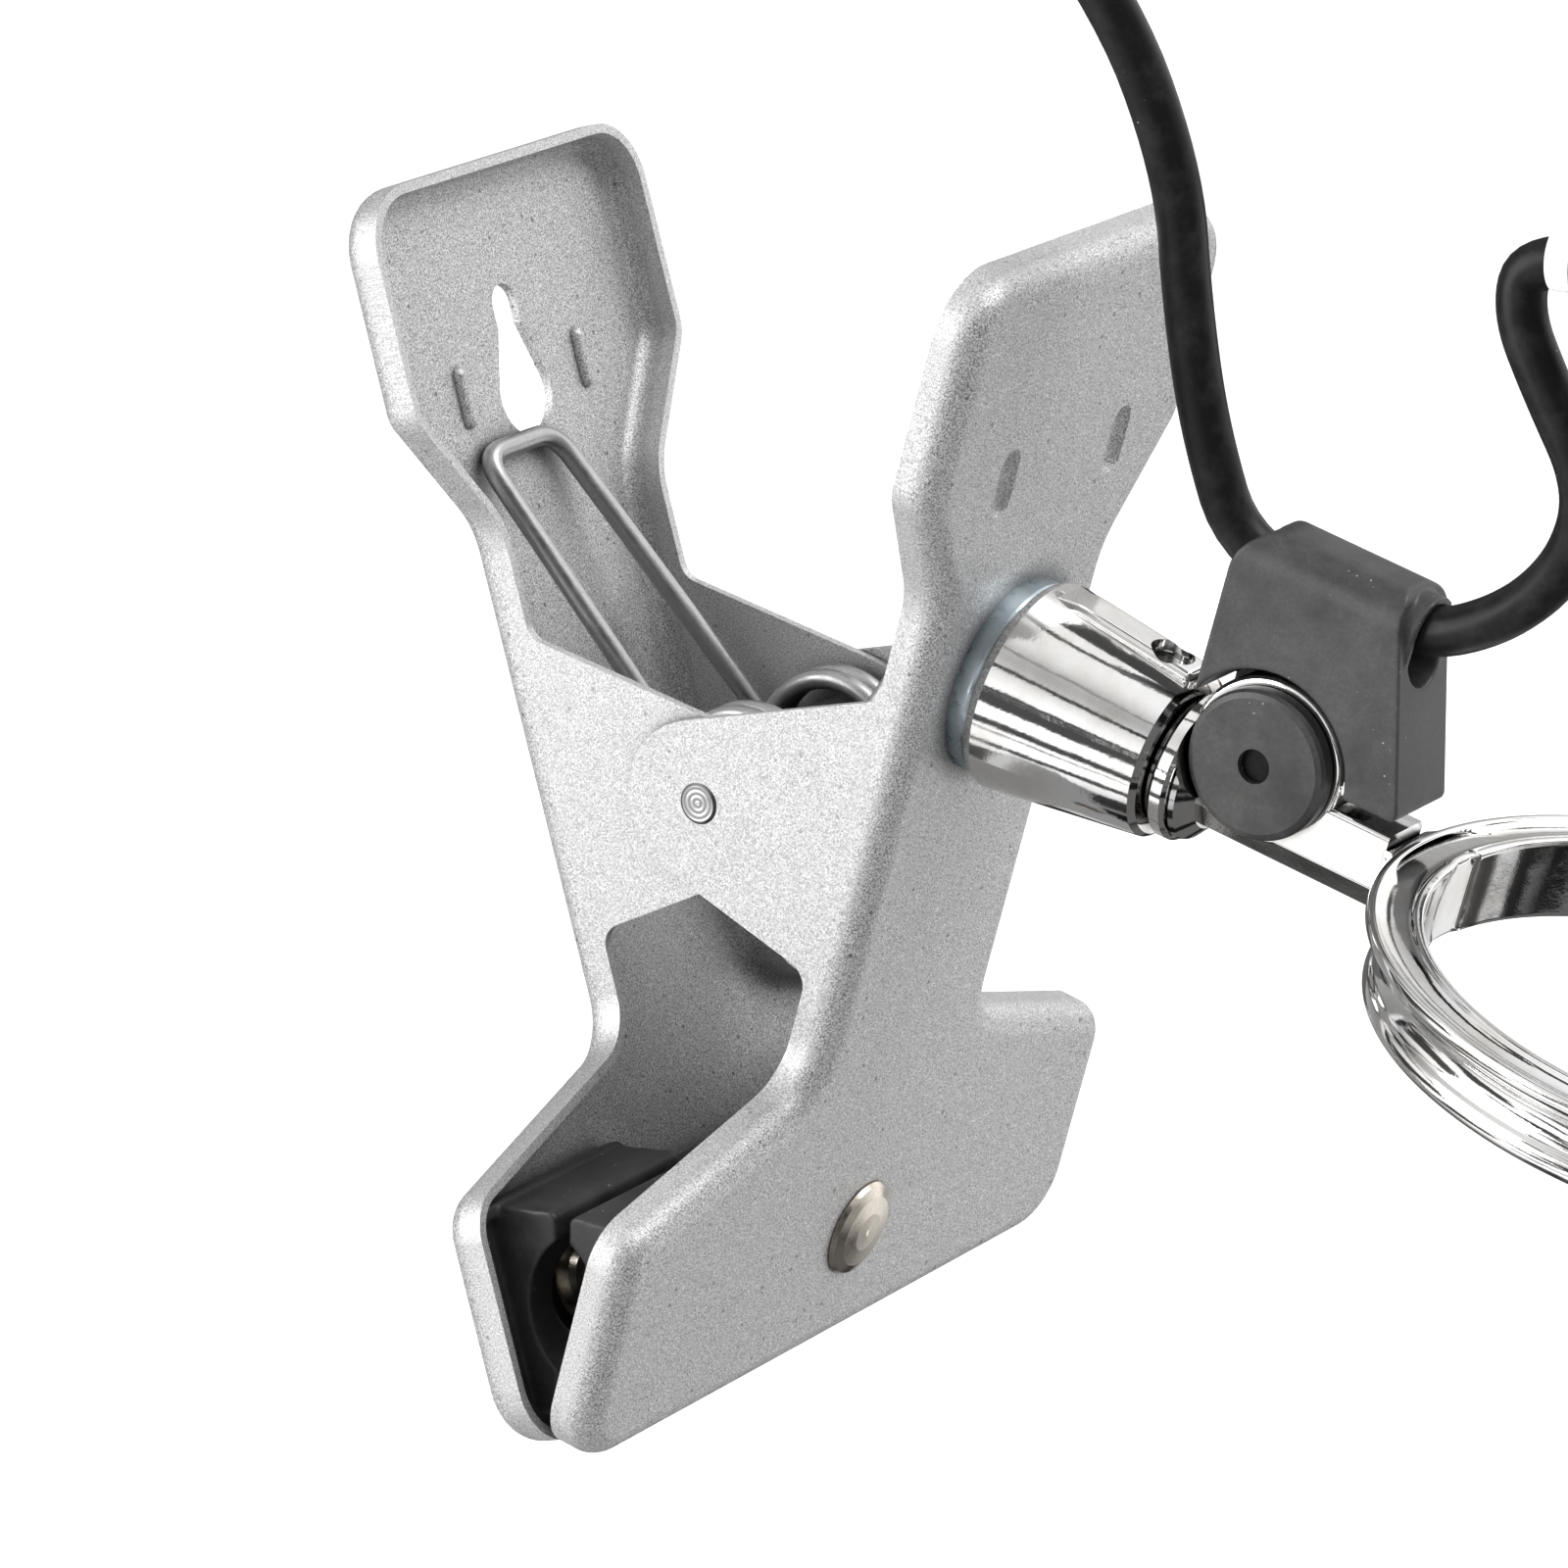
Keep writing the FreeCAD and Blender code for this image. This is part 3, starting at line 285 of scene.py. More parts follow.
def tube(name, path, radius, sides=TUBE_SIDES):
    """A round mesh tube along a path, with its two ends closed."""
    vertices, faces = [], []
    normal = None
    for index, here in enumerate(path):
        ahead = path[min(index + 1, len(path) - 1)]
        behind = path[max(index - 1, 0)]
        along = (ahead - behind).normalized()
        if normal is None:
            normal = along.orthogonal().normalized()
        normal = (normal - along * normal.dot(along)).normalized()
        side_way = along.cross(normal)
        for side in range(sides):
            turn = 2 * math.pi * side / sides
            vertices.append(here + (normal * math.cos(turn) + side_way * math.sin(turn)) * radius)
    for index in range(len(path) - 1):
        for side in range(sides):
            following = (side + 1) % sides
            a, b = index * sides, (index + 1) * sides
            faces.append((a + side, a + following, b + following, b + side))
    faces.append(tuple(range(sides)))
    faces.append(tuple(range(len(vertices) - sides, len(vertices))))
    mesh = bpy.data.meshes.new(name)
    mesh.from_pydata(vertices, [], faces)
    return finish_mesh(name, mesh, 60)


# ---------------------------------------------------------------- material tools
class Look:
    """One material: its principled shader and short calls for the nodes that feed it."""

    def __init__(self, name, **inputs):
        self.material = bpy.data.materials.new(name)
        self.material.use_nodes = True
        self.nodes = self.material.node_tree.nodes
        self.links = self.material.node_tree.links
        self.shader = self.nodes["Principled BSDF"]
        self.place = self.nodes.new("ShaderNodeTexCoord").outputs["Object"]
        for key, value in inputs.items():
            self.shader.inputs[key.replace("_", " ")].default_value = value

    def feed(self, socket, value):
        """Links an output, or sets a plain number or colour."""
        if isinstance(value, bpy.types.NodeSocket):
            self.links.new(value, socket)
        else:
            socket.default_value = value

    def noise(self, scale, detail=2.0, roughness=0.5, place=None, distortion=0.0):
        node = self.nodes.new("ShaderNodeTexNoise")
        node.inputs["Scale"].default_value = scale
        node.inputs["Detail"].default_value = detail
        node.inputs["Roughness"].default_value = roughness
        node.inputs["Distortion"].default_value = distortion
        self.links.new(place or self.place, node.inputs["Vector"])
        return node.outputs["Fac"]

    def cells(self, scale, place=None):
        """Distance to the nearest of scattered points, in cell widths."""
        node = self.nodes.new("ShaderNodeTexVoronoi")
        node.inputs["Scale"].default_value = scale
        self.links.new(place or self.place, node.inputs["Vector"])
        return node.outputs["Distance"]

    def crevices(self, distance):
        """1 in the open, towards 0 where other surfaces come within the distance; materials darken by it to paint
        shade.
        """
        node = self.nodes.new("ShaderNodeAmbientOcclusion")
        node.samples = 6
        node.inputs["Distance"].default_value = distance
        return node.outputs["AO"]

    def spread(self, source, low, high, bottom=0.0, top=1.0):
        """Maps the range low to high onto bottom to top, and clamps it."""
        node = self.nodes.new("ShaderNodeMapRange")
        self.links.new(source, node.inputs["Value"])
        for key, value in zip(("From Min", "From Max", "To Min", "To Max"), (low, high, bottom, top)):
            node.inputs[key].default_value = value
        return node.outputs["Result"]

    def sum(self, a, b, operation="ADD"):
        node = self.nodes.new("ShaderNodeMath")
        node.operation = operation
        self.feed(node.inputs[0], a)
        self.feed(node.inputs[1], b)
        return node.outputs[0]

    def mix(self, share, a, b):
        node = self.nodes.new("ShaderNodeMix")
        node.data_type = "RGBA"
        self.feed(node.inputs[0], share)
        self.feed(node.inputs[6], a)
        self.feed(node.inputs[7], b)
        return node.outputs[2]

    def framed(self, frame_matrix, stretch=(1, 1, 1)):
        """Object coordinates in one of the part's frames, optionally stretched."""
        inverse = frame_matrix.inverted()
        turned = self.nodes.new("ShaderNodeMapping")
        turned.vector_type = "POINT"
        turned.inputs["Location"].default_value = inverse.to_translation()
        turned.inputs["Rotation"].default_value = inverse.to_euler()
        self.links.new(self.place, turned.inputs["Vector"])
        scaled = self.nodes.new("ShaderNodeMapping")
        scaled.inputs["Scale"].default_value = stretch
        self.links.new(turned.outputs[0], scaled.inputs["Vector"])
        return scaled.outputs[0]

    def axis(self, vector, name):
        node = self.nodes.new("ShaderNodeSeparateXYZ")
        self.links.new(vector, node.inputs[0])
        return node.outputs[name]

    def bump(self, height, distance, strength=1.0):
        """Adds a bump, on top of any earlier one."""
        node = self.nodes.new("ShaderNodeBump")
        node.inputs["Strength"].default_value = strength
        node.inputs["Distance"].default_value = distance
        self.links.new(height, node.inputs["Height"])
        earlier = self.shader.inputs["Normal"]
        if earlier.is_linked:
            self.links.new(earlier.links[0].from_socket, node.inputs["Normal"])
        self.links.new(node.outputs[0], earlier)

    def colour(self, value):
        self.feed(self.shader.inputs["Base Color"], value)

    def rough(self, value):
        self.feed(self.shader.inputs["Roughness"], value)


def grey(level, warm=0.0):
    """A grey of this linear brightness; warm above zero leans to yellow."""
    return (level * (1 + warm), level, level * (1 - 1.6 * warm), 1)


# ---------------------------------------------------------------- materials
def silver_paint(name, frame_matrix):
    """Sprayed aluminium paint: fine flakes, an orange-peel skin and rubbed rims, with the rims also painted lighter as
    a highlight, and painted shade in corners.
    """
    look = Look(name, Metallic=0.55)
    place = look.framed(frame_matrix)
    flakes = look.noise(5600, 3.0, 0.75)
    clouds = look.noise(700, 3.0, 0.6)
    specks = look.spread(look.cells(380), 0.07, 0.1, 1.0, 0.0)
    depth = look.axis(place, "X")
    rim = look.spread(depth, 0.0205, 0.0185)
    tone = look.mix(look.spread(flakes, 0.41, 0.59), grey(0.16), grey(0.8))
    tone = look.mix(look.spread(clouds, 0.35, 0.65, 0.0, 0.3), tone, grey(0.42))
    tone = look.mix(look.sum(specks, 0.75, "MULTIPLY"), tone, grey(0.08))
    # the rims are mixed lighter: partly rubbed paint, partly a painted highlight where the rims face the light
    tone = look.mix(look.sum(rim, 0.3, "MULTIPLY"), tone, grey(0.7))
    # painted shade: the paint turns dark grey where other surfaces come close, in corners and round the washer
    tone = look.mix(look.spread(look.crevices(0.0035), 0.35, 0.85), grey(0.1), tone)
    look.colour(tone)
    look.rough(look.spread(flakes, 0.35, 0.65, 0.3, 0.55))
    look.bump(flakes, 0.00005, 0.8)
    look.bump(look.noise(520, 3.0, 0.55), 0.00012, 0.3)
    drawn = look.noise(2200, 2.0, 0.6, look.framed(frame_matrix, (0.12, 1, 1)))
    handle = look.spread(look.axis(place, "Z"), 0.034, 0.04)
    look.bump(look.sum(look.sum(drawn, rim, "MULTIPLY"), handle, "MULTIPLY"), 0.0001, 0.6)
    return look.material


def chrome(name):
    """Polished die casting: bright, with faint ripples, pits and hazy patches, and painted shade in its crevices."""
    look = Look(name, Metallic=1.0)
    haze = look.noise(160, 4.0, 0.6)
    bright = look.mix(look.spread(haze, 0.4, 0.7), grey(0.88), grey(0.74, 0.03))
    # painted shade: the chrome turns dark where other surfaces come within 1.2 mm
    look.colour(look.mix(look.spread(look.crevices(0.0012), 0.3, 0.8), grey(0.12), bright))
    look.rough(look.spread(haze, 0.35, 0.7, 0.04, 0.11))
    look.bump(look.noise(110, 2.0, 0.5), 0.0004, 0.22)
    look.bump(look.noise(1500, 3.0, 0.7), 0.00003, 0.22)
    return look.material


def zinc(name):
    """Blue-passivated zinc on turned steel."""
    look = Look(name, Metallic=1.0)
    haze = look.noise(700, 3.0, 0.6)
    look.colour(look.mix(haze, (0.36, 0.43, 0.47, 1), (0.58, 0.66, 0.70, 1)))
    look.rough(look.spread(haze, 0.3, 0.7, 0.22, 0.38))
    look.bump(look.noise(2600, 2.0), 0.00002, 0.5)
    return look.material


def bare_metal(name, colour, low, high, grain=2400):
    """Plain metal with a fine grain and slightly uneven shine."""
    look = Look(name, Metallic=1.0)
    grain_noise = look.noise(grain, 3.0, 0.6)
    darker = tuple(c * 0.82 for c in colour[:3]) + (1,)
    look.colour(look.mix(look.spread(grain_noise, 0.35, 0.65), darker, colour))
    look.rough(look.spread(look.noise(grain / 4, 2.0), 0.3, 0.7, low, high))
    look.bump(grain_noise, 0.00002, 0.4)
    return look.material


def spun_pin(name):
    """Pin end spread by a spinning tool, which leaves rings; the colour is mixed darker towards the rim of the pin
    end.
    """
    look = Look(name, Metallic=1.0)
    place = look.framed(FRONT)
    along, up = look.axis(place, "X"), look.axis(place, "Z")
    square = look.sum(look.sum(along, along, "MULTIPLY"), look.sum(up, up, "MULTIPLY"))
    radius = look.sum(square, 0.5, "POWER")
    rings = look.sum(look.sum(radius, 11000, "MULTIPLY"), 0.0, "SINE")
    base = look.mix(look.spread(rings, -1.0, 1.0), grey(0.3), grey(0.56))
    look.colour(look.mix(look.spread(radius, 0.0018, 0.0022), base, grey(0.16)))
    look.rough(look.spread(look.noise(900, 2.0), 0.3, 0.7, 0.28, 0.42))
    look.bump(rings, 0.00004, 0.5)
    return look.material


def moulded(name, level, low, high, grain=2600, dust=0.25, warm=0.0):
    """Moulded plastic or rubber: fine spark-eroded grain, rubbed patches, dust."""
    look = Look(name)
    patches = look.noise(130, 4.0, 0.65)
    fine = look.noise(grain, 2.0, 0.6)
    base = look.mix(look.spread(patches, 0.35, 0.7), grey(level * 0.8, warm), grey(level * 2.3, warm))
    base = look.mix(look.spread(fine, 0.4, 0.6, 0.0, 0.3), base, grey(level * 0.6, warm))
    motes = look.spread(look.cells(900), 0.05, 0.085, 1.0, 0.0)
    where = look.spread(look.noise(240, 1.0), 0.55, 0.62)
    motes = look.sum(motes, look.sum(where, dust, "MULTIPLY"), "MULTIPLY")
    look.colour(look.mix(motes, base, grey(0.75)))
    look.rough(look.spread(patches, 0.3, 0.7, low, high))
    look.bump(fine, 0.00003, 0.45)
    return look.material


def sheath(name):
    """Black vinyl cord sheath: soft sheen, faint scuffs along it and dust."""
    look = Look(name, Specular_IOR_Level=0.2)
    scuffs = look.noise(300, 4.0, 0.7)
    base = look.mix(look.spread(scuffs, 0.45, 0.75), grey(0.007), grey(0.02))
    motes = look.spread(look.cells(700), 0.04, 0.07, 1.0, 0.0)
    where = look.spread(look.noise(200, 1.0), 0.56, 0.62, 0.0, 0.5)
    look.colour(look.mix(look.sum(motes, where, "MULTIPLY"), base, grey(0.7)))
    look.rough(look.spread(scuffs, 0.3, 0.7, 0.3, 0.45))
    look.bump(look.noise(1500, 3.0, 0.6), 0.00003, 0.35)
    return look.material


LOOKS = {
    "front_paint": silver_paint("front_paint", FRONT),
    "rear_paint": silver_paint("rear_paint", REAR),
    "chrome": chrome("polished_chrome"),
    "zinc": zinc("zinc_plate"),
    "nickel": bare_metal("rivet_nickel", (0.78, 0.72, 0.63, 1), 0.2, 0.27, 9000),
    "pin": spun_pin("pin_steel"),
    "wire": bare_metal("spring_wire", (0.46, 0.46, 0.46, 1), 0.3, 0.45, 4500),
    "screw": bare_metal("screw_steel", (0.50, 0.50, 0.51, 1), 0.25, 0.4),
    "dark_screw": bare_metal("dark_screw", (0.02, 0.02, 0.02, 1), 0.4, 0.6),
    "bright_screw": bare_metal("bright_screw", (0.85, 0.85, 0.85, 1), 0.06, 0.15),
    "rubber": moulded("pad_rubber", 0.018, 0.4, 0.6, 2200, 0.7),
    "holder": moulded("holder_plastic", 0.03, 0.34, 0.5, 2600, 0.6),
    "disc": moulded("disc_plastic", 0.028, 0.32, 0.48, 2200, 0.6, 0.01),
    "black": moulded("black_plastic", 0.02, 0.3, 0.45),
    "nylon": moulded("bush_nylon", 0.45, 0.4, 0.5, 2200, 0.0),
    "plug": moulded("plug_plastic", 0.02, 0.28, 0.4, 2600, 0.1),
    "collar": moulded("collar_plastic", 0.62, 0.3, 0.42, 2600, 0.0),
    "tie": moulded("tie_plastic", 0.03, 0.5, 0.7, 1800, 0.2),
    "sheath": sheath("cord_sheath"),
}
NODE_LOOKS = {
    "front_jaw": "front_paint", "rear_jaw": "rear_paint", "pivot_pin": "pin",
    "spacer_sleeve": "black", "front_pad": "rubber", "rear_pad": "rubber",
    "front_pad_rivet": "nickel", "rear_pad_rivets": "nickel",
    "front_rivet_washer": "nickel", "rear_rivet_washers": "nickel",
    "seat_washer": "zinc", "lock_washer": "zinc", "cone_screw": "screw",
    "swivel_cone": "chrome", "swivel_bush": "nylon", "friction_disc": "rubber",
    "set_screw": "bright_screw", "swivel_arm": "chrome", "holding_ring": "chrome",
    "cable_holder": "holder", "holder_disc": "disc", "holder_screw": "dark_screw",
    "holder_nut": "zinc", "plug_body": "plug", "plug_barrel": "nickel",
    "lead_collar": "collar", "lead_connector": "plug", "cord_tie": "tie",
}
for node, look in NODE_LOOKS.items():
    slots = NODES[node].material_slots
    for slot in slots:
        slot.material = LOOKS[look]


def dress(piece, look, slot, body=None):
    """Gives a piece its material, its slot in the record and its body."""
    piece.data.materials.clear()
    piece.data.materials.append(LOOKS[look])
    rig.slot(piece, slot)
    if body:
        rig.ride(piece, body)
    return piece


# ---------------------------------------------------------------- cords
CORD = 5.0
TUNNEL = (64.84, 0.0, 77.02)
COIL = dict(x=-146.0, y=-12.0, z=56.0, mean=29.0, strands=7, pitch=5.85)
SUPPLY_ROUTE = [
    TUNNEL,
    (54.3, 0.0, 80.0),
    (51.0, -2.0, 93.0),
    (50.0, -4.0, 106.0),
    (50.6, -7.0, 120.0),
    (46.0, -12.0, 138.0),
    (28.0, -17.0, 161.0),
    (-4.0, -21.0, 178.0),
    (-44.0, -21.0, 178.0),
    (-82.0, -19.0, 163.0),
    (-108.0, -15.0, 131.0),
    (-113.0, -10.0, 92.0),
]
# the supply cord follows the arm at the holder and is still by the top of its arch
FOLLOWS_ARM, FOLLOWS_CLAMP = (52.0, 0.0, 85.0), (40.0, -10.0, 178.0)
ARCH_TOP = -24.0
LAMP_LEAD_ROUTE = [
    TUNNEL,
    (73.8, 0.0, 74.5),
    (84.0, -1.0, 78.0),
    (91.5, -2.0, 84.5),
    (94.5, -3.0, 93.0),
    (89.2, -3.0, 102.5),
    (85.6, -2.5, 109.5),
    (86.6, -2.0, 115.0),
    (93.4, -1.5, 115.0),
]


# a spline runs inside its control points, so a coil's stand a little further out
POINTS_PER_TURN, COIL_OUTSET = 16, 1.012


def coil_turns():
    """Turns side by side around an open middle, wound clockwise and downwards."""
    points = []
    turns = COIL["strands"] - 1
    half_step = math.pi / COIL["strands"]
    for step in range(turns * POINTS_PER_TURN + 1):
        done = step / POINTS_PER_TURN
        sweep = -2 * math.pi * done
        lay = half_step * (1 + 2 * done)
        radius = (COIL["mean"] + COIL["pitch"] * math.cos(lay)) * COIL_OUTSET
        points.append((
            COIL["x"] + radius * math.cos(sweep),
            COIL["y"] + COIL["pitch"] * math.sin(lay),
            COIL["z"] + radius * math.sin(sweep),
        ))
    return points


def make_supply_cord():
    turns = coil_turns()
    start, end = turns[0], turns[-1]
    entry = [(start[0], start[1], start[2] + 14.0)]
    tail = [(end[0], end[1], end[2] - 12.0), (-117.0, -12.0, 36.0), (-117.0, -12.0, 25.0)]
    path = line_points(route_line("supply_route", SUPPLY_ROUTE + entry + turns + tail))
    top = next(index for index, point in enumerate(path) if point.x < ARCH_TOP * MM)
    arch = tube("supply_cord_arch", path[:top + 1], CORD / 2 * MM)
    dress(arch, "sheath", "cord_sheath")
    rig.blend(arch, "arm", "clamp", Vector(FOLLOWS_ARM) * MM, Vector(FOLLOWS_CLAMP) * MM)
    coil = tube("supply_cord_and_coil", path[top:], CORD / 2 * MM)
    dress(coil, "sheath", "cord_sheath", "clamp")
    return arch, coil, path


supply, supply_coil, supply_path = make_supply_cord()
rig.replaces(supply, "supply_cord")
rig.replaces(supply_coil, "cord_coil", "cord_tail")


def path_length(path):
    return sum((end - start).length for start, end in zip(path, path[1:]))


# one real cord in two declared runs, which meet at the top of the arch
ARCH_LENGTH, COILED_LENGTH = 0.157, 1.343
arch_end = len(supply.data.vertices) // TUBE_SIDES - 1
arch_path, coil_path = supply_path[:arch_end + 1], supply_path[arch_end:]
print("supply cord %.3f m and %.3f m" % (path_length(arch_path), path_length(coil_path)))
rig.cord(
    supply, exit=Vector((54.3, 0.0, 80.0)) * MM, length=ARCH_LENGTH,
    diameter=CORD * MM, far_end="object", stiffness="stiff", lay="loose", path=arch_path,
)
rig.cord(
    supply_coil, exit=coil_path[0], length=COILED_LENGTH,
    diameter=CORD * MM, far_end="plug", stiffness="stiff", lay="coiled", path=coil_path,
    with_pieces=[NODES["plug_body"], NODES["plug_barrel"], NODES["cord_tie"]],
)

lead_path = line_points(route_line("lead_route", LAMP_LEAD_ROUTE))
lead = tube("lamp_lead_cord", lead_path, CORD / 2 * MM)
dress(lead, "sheath", "cord_sheath", "arm")
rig.replaces(lead, "lamp_lead")
lead_length = sum((b - a).length for a, b in zip(lead_path, lead_path[1:]))
print("lamp lead length %.3f m" % lead_length)
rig.cord(
    lead, exit=Vector((74.5, 0.0, 74.6)) * MM, length=0.066, diameter=CORD * MM,
    far_end="connector", stiffness="stiff", lay="loose", path=lead_path,
    with_pieces=[NODES["lead_collar"], NODES["lead_connector"]],
)


# ---------------------------------------------------------------- torsion spring
WIRE, COIL_RADIUS = 2.2, 7.3
WIRE_LINE = 21.96 - 1.0 - WIRE / 2 - 0.05
LOOP_LEVEL = 38.6


def leaving_angle(point, side):
    """Angle about the pin at which a straight leg to this point meets the coil."""
    across, up = point.x - PIN.x, point.z - PIN.z
    reach = math.acos(COIL_RADIUS * MM / math.hypot(across, up))
    return math.atan2(up, across) + side * reach


def winding(start_angle, end_angle, start_y, end_y):
    """Control points of the wire wound about the pin, 16 to a turn."""
    steps = round(abs(end_angle - start_angle) / (2 * math.pi / POINTS_PER_TURN))
    points = []
    for step in range(steps + 1):
        share = step / steps
        angle = start_angle + share * (end_angle - start_angle)
        points.append(PIN / MM + Vector((
            COIL_RADIUS * 1.01 * math.cos(angle),
            start_y + share * (end_y - start_y),
            COIL_RADIUS * 1.01 * math.sin(angle),
        )))
    return points


def spring_points():
    """Front leg, coil, rear leg, crossbar, rear leg, coil and front leg."""
    near_leg, far_leg, straight = -11.4, 1.4, 0.84
    near_outer, near_inner, far_inner, far_outer = -9.0, -3.8, 7.4, 12.6
    tip = placed(FRONT, WIRE_LINE, 0, 34.0)

    def on_rear(y, up):
        return placed(REAR, WIRE_LINE, -y, up) / MM

    near_corner, far_corner = on_rear(near_leg, LOOP_LEVEL), on_rear(far_leg, LOOP_LEVEL)
    crossbar = near_corner.lerp(far_corner, 0.5)
    rear_angle = leaving_angle(placed(REAR, WIRE_LINE, 0, LOOP_LEVEL), 1)
    front_angle = leaving_angle(tip, -1) + 2 * math.pi * 3
    near_coil = winding(front_angle, rear_angle, near_outer, near_inner)
    far_coil = winding(rear_angle, front_angle, far_outer, far_inner)
    near_tip = Vector((tip.x / MM, near_outer, tip.z / MM))
    far_tip = Vector((tip.x / MM, far_inner, tip.z / MM))
    near_start = near_tip.lerp(near_coil[0], 0.94)
    far_end = far_tip.lerp(far_coil[-1], 0.94)
    near_leg_line = [near_coil[-1].lerp(near_corner, share) for share in (0.06, straight)]
    far_leg_line = [far_coil[0].lerp(far_corner, share) for share in (straight, 0.06)]
    return (
        [near_tip, near_start] + near_coil + near_leg_line
        + [near_corner, crossbar, far_corner]
        + far_leg_line + far_coil + [far_end, far_tip]
    )


def make_spring():
    path = line_points(route_line("spring_route", spring_points(), 3, 6))
    piece = tube("spring_wire_form", path, WIRE / 2 * MM, 16)
    dress(piece, "wire", "spring_steel")
    reach = Vector((COIL_RADIUS * MM, 0, 0))
    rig.blend(piece, "clamp", "rear", PIN + reach, PIN - reach)
    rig.replaces(piece, "torsion_spring")


make_spring()


# ---------------------------------------------------------------- softened mouldings
def smooth_share(value, low, high):
    """0 below low, 1 above high and smooth between."""
    share = min(max((value - low) / (high - low), 0.0), 1.0)
    return share * share * (3 - 2 * share)


def settle(piece):
    """Turns a piece's modifiers into its own mesh."""
    bpy.context.view_layer.update()
    evaluated = piece.evaluated_get(bpy.context.evaluated_depsgraph_get())
    mesh = bpy.data.meshes.new_from_object(evaluated)
    piece.modifiers.clear()
    piece.data = mesh


def moulded_copy(name, node, voxel, passes, look, slot_name, body, reshape=None):
    """A copy of a CAD node with every edge rounded as a mould leaves it."""
    mesh = NODES[node].data.copy()
    mesh.name = name
    piece = new_object(name, mesh)
    remesh = piece.modifiers.new("voxels", "REMESH")
    remesh.mode = "VOXEL"
    remesh.voxel_size = voxel * MM
    settle(piece)
    if reshape:
        for vertex in piece.data.vertices:
            vertex.co = reshape(vertex.co)
    soften = piece.modifiers.new("soften", "SMOOTH")
    soften.factor = 0.5
    soften.iterations = passes
    settle(piece)
    piece.data.polygons.foreach_set("use_smooth", [True] * len(piece.data.polygons))
    dress(piece, look, slot_name, body)
    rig.replaces(piece, node)
    return piece


moulded_copy("cable_holder_moulding", "cable_holder", 0.16, 10, "holder", "holder_plastic", "arm")
PAD_BLOCK_START, PAD_MIDDLE_TOP = 18.6, -38.5


def lower_middle(frame_matrix):
    """The pad is lower between its two raised blocks than at them."""
    inverse = frame_matrix.inverted()

    def reshape(point):
        local = inverse @ point
        if abs(local.y) < PAD_BLOCK_START * MM:
            local.z = min(local.z, PAD_MIDDLE_TOP * MM)
        return frame_matrix @ local

    return reshape


moulded_copy(
    "front_pad_moulding", "front_pad", 0.25, 9, "rubber", "pad_rubber", "clamp", lower_middle(FRONT)
)
moulded_copy(
    "rear_pad_moulding", "rear_pad", 0.25, 9, "rubber", "pad_rubber", "rear", lower_middle(REAR)
)


# ---------------------------------------------------------------- holding ring
RING_AT, RING_INNER, RING_OUTER = 107.45, 31.3, 37.0
RING_LOW, RING_HIGH = 15.3, 24.25
BOSS_FACE = 69.3
# the boss's sloping side: its distance from the ring's axis and the way it faces
BOSS_SLOPE_AT, SLOPE_ALONG, SLOPE_ACROSS = 32.0, 0.768, 0.640
BOSS_HALF_ANGLE, BOSS_HALF_HEIGHT, BOSS_EDGE = 0.6, 3.4, 1.0
SEAM_AT, SEAM_DEPTH, SEAM_STEP = -3.3, 0.35, 0.004
FLAT_DEPTH, FLAT_ACROSS, FLAT_LEVEL = 0.3, -0.6, 19.6
FLAT_HALF_WIDTH, FLAT_HALF_HEIGHT, FLAT_END = 4.4, 5.4, 4.7


def cut_corners(points, rounds):
    """Rounds a closed outline by cutting its corners again and again."""
    for _ in range(rounds):
        finer = []
        for (a, b), (c, d) in zip(points, points[1:] + points[:1]):
            finer.append((0.75 * a + 0.25 * c, 0.75 * b + 0.25 * d))
            finer.append((0.25 * a + 0.75 * c, 0.25 * b + 0.75 * d))
        points = finer
    return points


def ring_section():
    """(radius, height) outline of the casting: two beads outside, a channel on top."""
    outer, low, high = RING_OUTER, RING_LOW, RING_HIGH
    return cut_corners([
        (RING_INNER, low + 0.1), (RING_INNER, low + 1.2), (RING_INNER, high - 1.2),
        (RING_INNER, high - 0.1), (RING_INNER + 0.45, high), (RING_INNER + 0.95, high),
        (RING_INNER + 1.5, high - 0.55), (RING_INNER + 3.4, high - 0.75),
        (outer - 1.2, high - 0.35), (outer - 0.9, high), (outer - 0.1, high),
        (outer + 0.05, high - 0.5), (outer, high - 1.3), (outer - 0.9, high - 2.2),
        (outer - 2.1, high - 3.1), (outer - 2.5, high - 4.4), (outer - 2.3, low + 2.9),
        (outer - 1.6, low + 2.2), (outer - 1.4, low + 1.0), (outer - 1.9, low + 0.1),
        (outer - 2.6, low), (RING_INNER + 1.0, low),
    ], 3)


def boss_reach(angle):
    """Radius of the boss that joins the arm: a flat front with a slope either side."""
    across = abs(angle)
    front = (RING_AT - BOSS_FACE) / math.cos(across)
    slope = BOSS_SLOPE_AT / (SLOPE_ALONG * math.cos(across) + SLOPE_ACROSS * math.sin(across))
    return min(front, slope)


def boss_radius(radius, angle, height):
    """Radius of the ring's outside where the boss may stand out from it."""
    middle = (RING_LOW + RING_HIGH) / 2
    edge = BOSS_HALF_HEIGHT + BOSS_EDGE
    fill = 1 - smooth_share(abs(height - middle), BOSS_HALF_HEIGHT, edge)
    return max(radius, radius + fill * (boss_reach(angle) - radius))


def inner_radius(radius, angle, height, near_seam):
    """Radius of the inner wall, with the oval flat and the seam beside the arm."""
    across = RING_INNER * math.sin(angle)
    oval = ((across - FLAT_ACROSS) / FLAT_HALF_WIDTH) ** 2
    oval += ((height - FLAT_LEVEL) / FLAT_HALF_HEIGHT) ** 2
    if abs(angle) < 0.4 and not near_seam and SEAM_AT < across < FLAT_END:
        radius += FLAT_DEPTH * (1 - smooth_share(oval, 0.75, 1.0))
    if near_seam:
        radius += SEAM_DEPTH
    return radius


